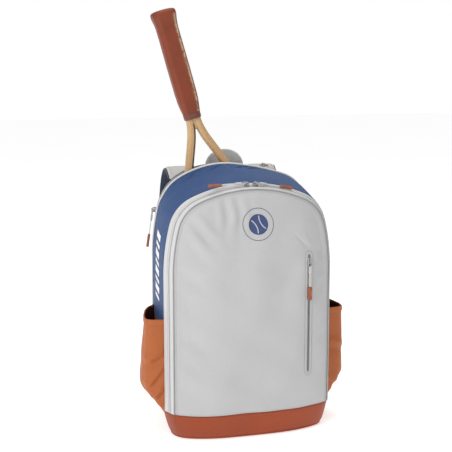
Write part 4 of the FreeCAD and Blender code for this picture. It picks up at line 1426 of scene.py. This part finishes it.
# ---------------------------------------------------------------- prints
def lay_on(obj, target, axis, offset=0.25 * MM):
    """Lays a flat piece on a cloth by projecting its points along an axis."""
    modifier = obj.modifiers.new("Lay", "SHRINKWRAP")
    modifier.target = target
    modifier.wrap_method = "PROJECT"
    modifier.use_project_x = axis == "X"
    modifier.use_project_y = axis == "Y"
    modifier.use_positive_direction = modifier.use_negative_direction = True
    modifier.cull_face = "OFF"
    modifier.wrap_mode = "ABOVE_SURFACE"
    modifier.offset = offset
    apply_modifiers(obj)


def ribbon_xz(name, centre, width, material, y):
    """Flat printed line of a given width along a centre line in the XZ plane."""
    t = unit(np.gradient(centre, axis=0))
    n = np.stack([-t[:, 1], t[:, 0]], -1)
    k = np.linspace(-0.5, 0.5, 4)[None, :, None]
    flat = centre[:, None] + n[:, None] * k * width
    return grid_object(name, xyz(flat[..., 0], y, flat[..., 1]), material)


class OBJECT_OT_backpack_prints(bpy.types.Operator):
    """Builds the plain ball badge on the front and the slanting bars on the left side"""

    bl_idname = "backpack.prints"
    bl_label = "Prints"

    def execute(self, context):
        panel = bpy.data.objects["front_panel_cloth"]
        centre, radius, y = np.array([2.0, 385]) * MM, 27.5 * MM, FRONT_Y - BULGE - 12 * MM
        a = np.linspace(0, 2 * math.pi, 121)
        circle = np.stack([np.cos(a), np.sin(a)], -1)
        ring = ribbon_xz("badge_ring", centre + radius * circle, 0.9 * MM, "print_navy", y)
        r = np.linspace(0, 1, 24)[None]
        flat = centre + 17.5 * MM * r[..., None] * circle[:, None]
        ball = grid_object("badge_ball", xyz(flat[..., 0], y, flat[..., 1]), "print_navy")
        seams = []
        for i, hand in enumerate((-1, 1)):
            b = np.linspace(-0.92, 0.92, 60)
            line = np.stack([hand * (13.2 * MM - 8.5 * MM * np.cos(b)), 15.6 * MM * np.sin(b)], -1)
            turn = math.radians(28)
            spin = np.array([[math.cos(turn), -math.sin(turn)], [math.sin(turn), math.cos(turn)]])
            seams.append(ribbon_xz("badge_seam_" + "ab"[i], centre + line @ spin.T, 1.9 * MM, "pale", y))
        for obj, lift in [(ring, 0.25 * MM), (ball, 0.25 * MM)] + [(o, 0.5 * MM) for o in seams]:
            lay_on(obj, panel, "Y", lift)
            orient(obj, (0, -1, 0))
            finish_piece(obj, "bag")
        self.bars()
        return {"FINISHED"}

    def bars(self):
        """Slanting bars up the blue side, given by depth and height, laid on by projection."""
        cloth_piece = bpy.data.objects["main_gusset_cloth"]
        heights = np.linspace(243, 352, 8) * MM
        for i, z0 in enumerate(heights):
            v = np.linspace(0, 1, 8)[None]
            u = np.linspace(0, 1, 12)[:, None]
            long = (11.5 if i % 2 else 7.0) * MM
            y = -18 * MM + 30 * MM * u + 0 * v
            z = z0 + 8 * MM * u + long * (v - 0.5)
            bar = grid_object("side_bar_" + "abcdefgh"[i], xyz(-STATION_W[1] - 12 * MM, y, z), "print_white")
            lay_on(bar, cloth_piece, "X", 0.3 * MM)
            orient(bar, (-1, 0, 0))
            finish_piece(bar, "bag")


# ---------------------------------------------------------------- small pocket in the front
class OBJECT_OT_backpack_upright_pocket(bpy.types.Operator):
    """Builds the welt, tape and coil of the small upright zip"""

    bl_idname = "backpack.upright_pocket"
    bl_label = "Upright pocket"

    def execute(self, context):
        panel = bpy.data.objects["front_panel_cloth"]
        low, high = corners("upright_zip")
        x = 0.5 * (low[0] + high[0])
        y = PANEL_LOW[1] - 10 * MM
        a = turns(200)
        half = 4.6 * MM
        reach = 0.5 * (high[2] - low[2]) + 3.0 * MM
        middle = 0.5 * (high[2] + low[2])
        ends = np.where(np.sin(a) > 0, 1, -1) * (reach - half) + middle
        loop = np.stack([x + half * np.cos(a), ends + half * np.sin(a)], -1)
        loop = resample(np.pad(np.concatenate([loop, loop[:1]]), ((0, 0), (0, 1))), 361)[:-1, :2]
        n = outline_normal(loop)
        k = np.linspace(-1, 1, 9)
        flat = loop[:, None] + n[:, None] * (k * 2.0 * MM)[None, :, None]
        # Painted shade towards both edges of the welt.
        welt = grid_object("upright_zip_welt", xyz(flat[..., 0], y, flat[..., 1]), "pale",
                           closed=(True, False), edge=np.abs(k) ** 3)
        lay_on(welt, panel, "Y", 0.15 * MM)
        co = read(welt.data.vertices, "co").reshape(len(loop), 9, 3)
        co[..., 1] -= 1.15 * MM * (1 - k ** 4)
        write(welt, co)
        orient(welt, (0, -1, 0))
        finish_piece(welt, "bag")
        z = np.linspace(low[2], high[2], 120)[:, None]
        across = np.linspace(-2.9, 2.9, 7)[None] * MM
        tape = grid_object("upright_zip_tape", xyz(x + across, y, z), "tape")
        lay_on(tape, panel, "Y", 0.25 * MM)
        orient(tape, (0, -1, 0))
        finish_piece(tape, "bag", ["upright_zip"])
        count = int((high[2] - low[2]) / (1.5 * MM) * 3)
        fine = np.linspace(low[2] + MM, high[2] - MM, count)
        middle_column = read(tape.data.vertices, "co").reshape(120, 7, 3)[:, 3]
        base = np.interp(fine, z[:, 0], middle_column[:, 1])
        swing = 1 + 0.22 * np.cos(np.arange(count) * 2 * math.pi / 3)
        coil = tube_object("upright_zip_coil", xyz(x, base - 0.35 * MM, fine), (0, -1, 0),
                           ring_profile(1.35 * MM, 0.75 * MM, count=6), "dark_coil", swing)
        finish_piece(coil, "bag")
        outer = loop + n * 3.4 * MM
        twice = np.repeat(xyz(outer[:, 0], y, outer[:, 1])[:, None], 2, 1) + [[0, 0, 0], [0, 0, 0.01 * MM]]
        guide = grid_object("stitch_guide", twice, None, weld=False)
        lay_on(guide, panel, "Y", 0.1 * MM)
        row = read(guide.data.vertices, "co")[::2]
        bpy.data.objects.remove(guide)
        out = np.broadcast_to(np.array([0.0, -1, 0]), row.shape)
        stitches("upright_zip_stitches", row, out, "thread", pitch=3.4 * MM, length=2.2 * MM)
        return {"FINISHED"}


# ---------------------------------------------------------------- sliders and pulls
def place_of(node_tag):
    """Axes of a slider in the frame: origin at the coil, along the zip, across it and away from the cloth."""
    joint, travel = joint_of("pull_swing_" + node_tag), joint_of("zip_" + node_tag)
    pivot = np.array(joint["pos_m"])
    across = -np.array(joint["axis"])
    away = pivot - np.array(travel["pos_m"]) if travel["type"] == "hinge" else np.array([0.0, -1.0, 0.0])
    away = unit(away - away @ across * across)
    return pivot - away * BAIL, np.cross(across, away), across, away


def joint_of(name):
    """Joint of the frame by name."""
    return next(j for j in frame["joints"] if j["name"] == name)


def carry(points, place):
    """Points from a slider's own axes to the frame."""
    origin, along, across, away = place
    return origin + points[..., :1] * along + points[..., 1:2] * across + points[..., 2:] * away


def droop_points(points, angle, turn=0.0):
    """Turns points beyond the bound end sideways, then lets everything droop about the bail."""
    c, s = math.cos(turn), math.sin(turn)
    moved = points.copy()
    past = points[..., 0] > KNEE + 1e-6
    dx, dy = points[..., 0] - KNEE, points[..., 1]
    moved[..., 0] = np.where(past, KNEE + c * dx - s * dy, points[..., 0])
    moved[..., 1] = np.where(past, s * dx + c * dy, points[..., 1])
    c, s = math.cos(angle), math.sin(angle)
    x, z = moved[..., 0].copy(), moved[..., 2] - BAIL
    moved[..., 0] = c * x + s * z
    moved[..., 2] = BAIL - s * x + c * z
    return moved


class OBJECT_OT_backpack_zip_pulls(bpy.types.Operator):
    """Builds the five zip sliders with their wire loops, cords and tags"""

    bl_idname = "backpack.zip_pulls"
    bl_label = "Zip pulls"

    def execute(self, context):
        droops = {"pocket_left": (1, 0), "pocket_right": (9, 0), "main_left": (4, 0), "main_right": (6, 78),
                  "upright": (0, 0)}
        for tag, (droop, turn) in droops.items():
            self.build(tag, place_of(tag), math.radians(droop), math.radians(turn))
        return {"FINISHED"}

    def build(self, tag, place, droop, turn):
        x = np.linspace(-5, 5, 30) * MM
        narrow = 0.80 + 0.20 * np.cos(np.linspace(-1, 1, 30) * 2.6) ** 2
        narrow = narrow * np.minimum(1, (5.2 * MM - np.abs(x)) / (1.2 * MM) + 0.35)
        flat = ring_profile(4.2 * MM, 0.72 * MM, 4.0, 24)
        parts = []
        for z, k in ((2.6, 1.0), (0.9, 0.98)):
            parts.append(sweep(xyz(x, 0, z * MM), (0, 0, 1), flat * k, narrow))
        post = xyz(-2.6 * MM, 0, np.linspace(0.9, 2.6, 8) * MM)
        parts.append(sweep(post, (1, 0, 0), cord_profile(1.4 * MM, 12)))
        a = np.linspace(0, math.pi, 24)
        bail = xyz(-3.0 * MM * np.cos(a), 0, 2.6 * MM + 4.3 * MM * np.sin(a) ** 0.7)
        parts.append(sweep(bail, (0, 1, 0), ring_profile(0.95 * MM, 0.55 * MM, 3.0, 12)))
        pieces = [grid_object("part", carry(p, place), "nickel", closed=(False, True)) for p in parts]
        slider = outward(join("zip_slider_" + tag, pieces))
        finish_piece(slider, "slider_" + tag, ["slider_" + tag])
        a = turns(48)
        loop = xyz(4.8 * MM + 5.0 * MM * np.cos(a), 3.3 * MM * root(np.sin(a), 2 / 0.7), BAIL)
        loop = carry(droop_points(loop, droop), place)
        ring = tube_object("pull_ring_" + tag, loop, place[3], cord_profile(0.8 * MM), "nickel", closed=True)
        finish_piece(ring, "pull_" + tag)
        self.cord_and_tag(tag, place, droop, turn)

    def cord_and_tag(self, tag, place, droop, turn):
        body = "pull_" + tag
        x = np.linspace(9.2, 47, 70)
        strands = []
        for way in (-1, 1):
            y = way * (0.95 + 0.35 * np.sin((x - 22) / 24 * math.pi) * (x > 22))
            path = carry(droop_points(xyz(x * MM, y * MM, BAIL), droop, turn), place)
            strands.append(tube_object("strand", path, place[3], cord_profile(0.85 * MM), "cord"))
        a = np.linspace(0, 2 * math.pi * 6, 150)
        wrap = xyz(10 * MM + 11 * MM * a / a[-1], 2.1 * MM * np.cos(a), BAIL + 1.4 * MM * np.sin(a))
        wrap = carry(droop_points(wrap, droop, turn), place)
        strands.append(tube_object("wrap", wrap, place[3], cord_profile(0.95 * MM, 8), "cord"))
        cord = join("pull_cord_braid_" + tag, strands)
        finish_piece(cord, body, ["pull_cord_" + tag])
        x = np.linspace(0, 1, 48)
        half = 4.5 * MM * np.sqrt(np.clip(1 - np.abs(2 * x - 1) ** 7, 0, 1))
        half = half * (1 - 0.26 * np.sin(math.pi * x) ** 3)
        flat = ring_profile(1.0, 1.0, 2.6, 28)
        thick = 2.1 * MM * np.clip(half / (2.4 * MM), 0, 1)
        lengthwise = TAG_START + TAG_LENGTH * x
        points = xyz(lengthwise[:, None], flat[:, 0] * half[:, None], BAIL + flat[:, 1] * thick[:, None])
        points = carry(droop_points(points, droop, turn), place)
        tag_piece = outward(grid_object("pull_tag_leather_" + tag, points, "tag", closed=(False, True)))
        finish_piece(tag_piece, body, ["pull_tag_" + tag])
        keep = slice(5, 43)
        edge = xyz(lengthwise[keep], half[keep] - 1.1 * MM, 7.45 * MM)
        other = edge[::-1] * [1, -1, 1]
        row = carry(droop_points(np.concatenate([edge, other]), droop, turn), place)
        out = np.broadcast_to(place[3], row.shape)
        stitches("pull_tag_stitches_" + tag, row, out, "clay_thread", body, 1.9 * MM, 1.3 * MM,
                 0.22 * MM)


# ---------------------------------------------------------------- racket
RACKET_LENGTH = 685 * MM
# right arm of the throat: distance from the middle and from the tip of the head, in millimetres
ARM_LINE = np.array([
    (6.6, 489), (6.8, 480), (7.8, 468), (11.4, 453), (17.0, 437), (29.5, 406), (41, 374), (52, 343),
    (65, 309),
    (77, 286), (90, 262)]) * MM


def racket_frame():
    """Racket's own axes in the frame: tip of the head, across, through and along towards the butt."""
    along = unit(np.array(joint_of("racket_lift")["axis"]))
    through = np.array([0.0, 1.0, 0.0])
    low, high = corners("racket_butt_cap")
    butt = 0.5 * (low + high) + along * 6.5 * MM
    return butt - along * RACKET_LENGTH, np.cross(through, along), through, along


def racket_points(points):
    origin, across, through, along = racket_frame()
    return origin + points[..., :1] * across + points[..., 1:2] * through + points[..., 2:] * along


def paint_inner_side(obj, across, through):
    """Gives the faces towards the racket's middle and front a dark lacquer."""
    obj.data.materials.append(MATERIALS["dark_lacquer"])
    normals = read(obj.data.polygons, "normal")
    origin, _, _, along = racket_frame()
    low = (read(obj.data.polygons, "center") - origin) @ along < 474 * MM
    inner = low & (normals @ across > 0.2) & (normals @ through < 0.5)
    obj.data.polygons.foreach_set("material_index", inner.astype(np.int32))


class OBJECT_OT_backpack_racket(bpy.types.Operator):
    """Builds the racket: hoop, throat, shaft, collar, wrapped grip and butt cap"""

    bl_idname = "backpack.racket"
    bl_label = "Racket"

    def execute(self, context):
        body = "racket"
        a = turns(200)
        hoop = xyz(118.5 * MM * np.sin(a), 0, 167.5 * MM - 162.0 * MM * np.cos(a))
        section = ring_profile(5.6 * MM, 10.4 * MM, 2.8, 22)
        _, across, through, _ = racket_frame()
        parts = [tube_object("hoop", racket_points(hoop), through, section, "lacquer", closed=True)]
        section = ring_profile(7.6 * MM, 9.6 * MM, 2.6, 34)
        for hand in (-1, 1):
            line = smooth_path(ARM_LINE, 90)
            path = racket_points(xyz(hand * line[:, 0], 0, line[:, 1]))
            size = np.interp(line[:, 1], [0.26, 0.31, 0.45, 0.49], [0.8, 1.0, 1.0, 0.92])
            arm = tube_object("arm", path, through, section, "lacquer", size)
            if hand < 0:
                paint_inner_side(arm, across, through)
            parts.append(arm)
        shaft = racket_points(xyz(0, 0, np.linspace(464, 489, 12) * MM))
        parts.append(tube_object("shaft", shaft, through, ring_profile(12.4 * MM, 8.6 * MM, 3.0, 28),
                                 "lacquer", np.linspace(0.35, 1.0, 12) ** 0.4))
        finish_piece(join("racket_frame_lacquered", parts), body, ["racket_frame"])
        self.grip(body, through)
        paint_node("racket_strings", "string")
        paint_node("racket_bumper", "guard")
        return {"FINISHED"}

    def grip(self, body, through):
        """Handle of eight flats, collar and butt cap.

        Each ring is the eight-sided outline whose radius is the inverse of a high-power mean of the
        distances to its flats, so its corners are slightly rounded. A wound strip shows as a faint
        ridge that climbs one pitch for each turn.
        """
        n, m = 420, 96
        k = np.linspace(0, 1, n)[:, None]
        a = turns(m)[None]
        z = 495 * MM + 180 * MM * k
        at = [0, 0.05, 0.12, 0.22, 0.5, 0.78, 0.88, 0.94, 0.98, 1.0]
        half = np.interp(k, at, [15.4, 16.8, 18.3, 19.0, 19.2, 18.8, 19.0, 20.2, 21.6, 22.0]) * MM
        turn = (z / (27 * MM) + a / (2 * math.pi)) % 1.0
        ridge = 0.14 * MM * np.clip(turn / 0.06, 0, 1) * (1 - turn)
        radius = half * flats(a) + ridge
        points = racket_points(xyz(radius * np.cos(a), radius * np.sin(a), z))
        centre = racket_points(np.array([[0, 0, 495 * MM], [0, 0, 675 * MM]]))
        first, last = (np.broadcast_to(end, (1, m, 3)) for end in centre)
        points = np.concatenate([first, points, last])
        # Pale strip at one angle round the grip, written as the seam attribute.
        rubbed = bump_at((a - math.radians(316) + math.pi) % (2 * math.pi) - math.pi, 0, 0.15) + 0 * k
        edge = np.concatenate([rubbed[:1], rubbed, rubbed[-1:]])
        grip = outward(grid_object("racket_grip_leather", points, "grip", closed=(False, True), edge=edge))
        finish_piece(grip, body, ["racket_grip"])
        k = np.linspace(0, 1, 30)
        size = 15.2 * MM + 0.6 * MM * np.sin(np.linspace(0.1, 1, 30) * math.pi) ** 0.5
        size = size + 0.25 * MM * np.cos(6 * math.pi * k)
        path = racket_points(xyz(0, 0, (484 + 14 * k) * MM))
        collar = tube_object("racket_collar_rubber", path, through, ring_profile(1.0, 0.86, 2.8, 36),
                             "rubber", size)
        finish_piece(collar, body, ["racket_collar"])
        v = np.linspace(0, 1, 22)[:, None]
        z = 673.5 * MM + 11.5 * MM * np.sin(v * 0.5 * math.pi)
        radius = 21.9 * MM * (1 - 0.999 * np.clip((v - 0.15) / 0.85, 0, 1) ** 3.2) * flats(a)
        points = racket_points(xyz(radius * np.cos(a), radius * np.sin(a), z))
        rim = racket_points(np.array([0, 0, 673.5 * MM]))
        points = np.concatenate([np.broadcast_to(rim, (1, m, 3)), points])
        cap = outward(grid_object("racket_butt_cap_leather", points, "grip", closed=(False, True), edge=0.0))
        finish_piece(cap, body, ["racket_butt_cap"])


def flats(a):
    """Radius of the grip's outline at angle a for a half width of one: broad flats and narrow bevels."""
    bevels = [(i * 0.74, j * 0.673) for j in (1, -1) for i in (1, -1)]
    normals = np.array([(1, 0), (-1, 0), (0, 1), (0, -1)] + bevels)
    reach = np.array([1, 1, 0.88, 0.88] + [1.036] * 4)
    share = (np.cos(a)[..., None] * normals[:, 0] + np.sin(a)[..., None] * normals[:, 1]) / reach
    return (np.clip(share, 0, None) ** 56).sum(-1) ** (-1 / 56)


# ---------------------------------------------------------------- inner pieces
class OBJECT_OT_backpack_inside(bpy.types.Operator):
    """Gives the hidden boards, walls and linings their finishes"""

    bl_idname = "backpack.inside"
    bl_label = "Inside"

    def execute(self, context):
        for node in ("pocket_divider", "racket_sleeve", "upright_pocket_lining"):
            paint_node(node, "lining")
        paint_node("back_stiffener", "board")
        return {"FINISHED"}


# ---------------------------------------------------------------- stage
# camera: focal length in picture widths, angles in degrees, distances in metres
CAMERA_FOCAL = 1035.0 / 452.0
CAMERA_SWING, CAMERA_ASIDE, CAMERA_PITCH = -16.8, 0.8, -9.5
CAMERA_REACH, CAMERA_HEIGHT = 1.855, 0.6765


def area_light(name, place, target, size, power):
    light = bpy.data.lights.new(name, "AREA")
    light.shape = "DISK"
    light.size = size
    light.energy = power
    obj = bpy.data.objects.new(name, light)
    obj.location = place
    obj.rotation_euler = (Vector(target) - Vector(place)).to_track_quat("-Z", "Y").to_euler()
    bpy.context.scene.collection.objects.link(obj)


class OBJECT_OT_backpack_stage(bpy.types.Operator):
    """Builds the pale floor, the soft lights and the camera"""

    bl_idname = "backpack.stage"
    bl_label = "Stage"

    def execute(self, context):
        scene = bpy.context.scene
        n = Nodes("floor_paper")
        place = n.place
        cloud = n.ramp(n.noise(place, 3.0), 0.3, 0.7)
        n.drive("Base Color", n.mix(cloud, (0.93, 0.93, 0.93, 1), (0.96, 0.96, 0.96, 1)))
        n.drive("Roughness", 0.9)
        n.drive("Emission Color", (1, 1, 1, 1))
        n.drive("Emission Strength", 0.5)
        MATERIALS["floor"] = n.material
        t = np.linspace(-9, 9, 9)
        grid_object("floor", xyz(t[:, None], t[None], -0.4 * MM), "floor")
        world = bpy.data.worlds.new("studio")
        world.use_nodes = True
        nodes, links = world.node_tree.nodes, world.node_tree.links
        nodes["Background"].inputs["Color"].default_value = (1, 1, 1, 1)
        rays = nodes.new("ShaderNodeLightPath")
        strength = nodes.new("ShaderNodeMapRange")
        strength.inputs["To Min"].default_value = 0.50
        strength.inputs["To Max"].default_value = 1.0
        links.new(rays.outputs["Is Camera Ray"], strength.inputs["Value"])
        links.new(strength.outputs["Result"], nodes["Background"].inputs["Strength"])
        scene.world = world
        area_light("key", (-1.9, -1.5, 1.6), (0, 0, 0.3), 1.0, 32)
        area_light("front", (0.2, -2.5, 1.2), (0, 0, 0.25), 1.6, 6)
        area_light("top", (0.2, 0.1, 2.3), (0, 0, 0.3), 1.4, 17)
        scene.view_settings.view_transform = "Standard"
        camera = bpy.data.cameras.new("camera")
        camera.sensor_width = 36.0
        camera.lens = camera.sensor_width * CAMERA_FOCAL
        camera.clip_end = 50
        view = bpy.data.objects.new("camera", camera)
        swing = math.radians(CAMERA_SWING)
        view.location = (math.sin(swing) * CAMERA_REACH, -math.cos(swing) * CAMERA_REACH, CAMERA_HEIGHT)
        yaw, pitch = math.radians(CAMERA_SWING + CAMERA_ASIDE), math.radians(CAMERA_PITCH)
        look = Vector((-math.sin(yaw) * math.cos(pitch), math.cos(yaw) * math.cos(pitch), math.sin(pitch)))
        view.rotation_euler = look.to_track_quat("-Z", "Y").to_euler()
        scene.collection.objects.link(view)
        scene.camera = view
        return {"FINISHED"}


# ---------------------------------------------------------------- panel and registration
OPERATORS = (
    OBJECT_OT_backpack_stage, OBJECT_OT_backpack_foot, OBJECT_OT_backpack_front_panel,
    OBJECT_OT_backpack_pocket_gusset, OBJECT_OT_backpack_main_gusset, OBJECT_OT_backpack_side_pockets,
    OBJECT_OT_backpack_back, OBJECT_OT_backpack_straps, OBJECT_OT_backpack_handle,
    OBJECT_OT_backpack_upright_pocket, OBJECT_OT_backpack_prints, OBJECT_OT_backpack_zip_pulls,
    OBJECT_OT_backpack_racket, OBJECT_OT_backpack_inside,
)


class VIEW3D_PT_backpack(bpy.types.Panel):
    """Sidebar panel with the sizes, the colours and one button for each group of pieces"""

    bl_label = "Racket backpack"
    bl_space_type = "VIEW_3D"
    bl_region_type = "UI"
    bl_category = "Backpack"

    def draw(self, context):
        for group in (context.scene.backpack_sizes, context.scene.backpack_colours):
            box = self.layout.box()
            for key in group.bl_rna.properties.keys():
                if key not in ("rna_type", "name"):
                    box.prop(group, key)
        for operator in OPERATORS:
            self.layout.operator(operator.bl_idname)


CLASSES = (BackpackSizes, BackpackColours) + OPERATORS + (VIEW3D_PT_backpack,)


def register():
    for item in CLASSES:
        bpy.utils.register_class(item)
    bpy.types.Scene.backpack_sizes = bpy.props.PointerProperty(type=BackpackSizes)
    bpy.types.Scene.backpack_colours = bpy.props.PointerProperty(type=BackpackColours)


def unregister():
    del bpy.types.Scene.backpack_sizes
    del bpy.types.Scene.backpack_colours
    for item in reversed(CLASSES):
        bpy.utils.unregister_class(item)


def main():
    """Registers the add-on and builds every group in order."""
    register()
    make_materials()
    for operator in OPERATORS:
        group, name = operator.bl_idname.split(".")
        getattr(getattr(bpy.ops, group), name)()


if __name__ == "__main__":
    main()
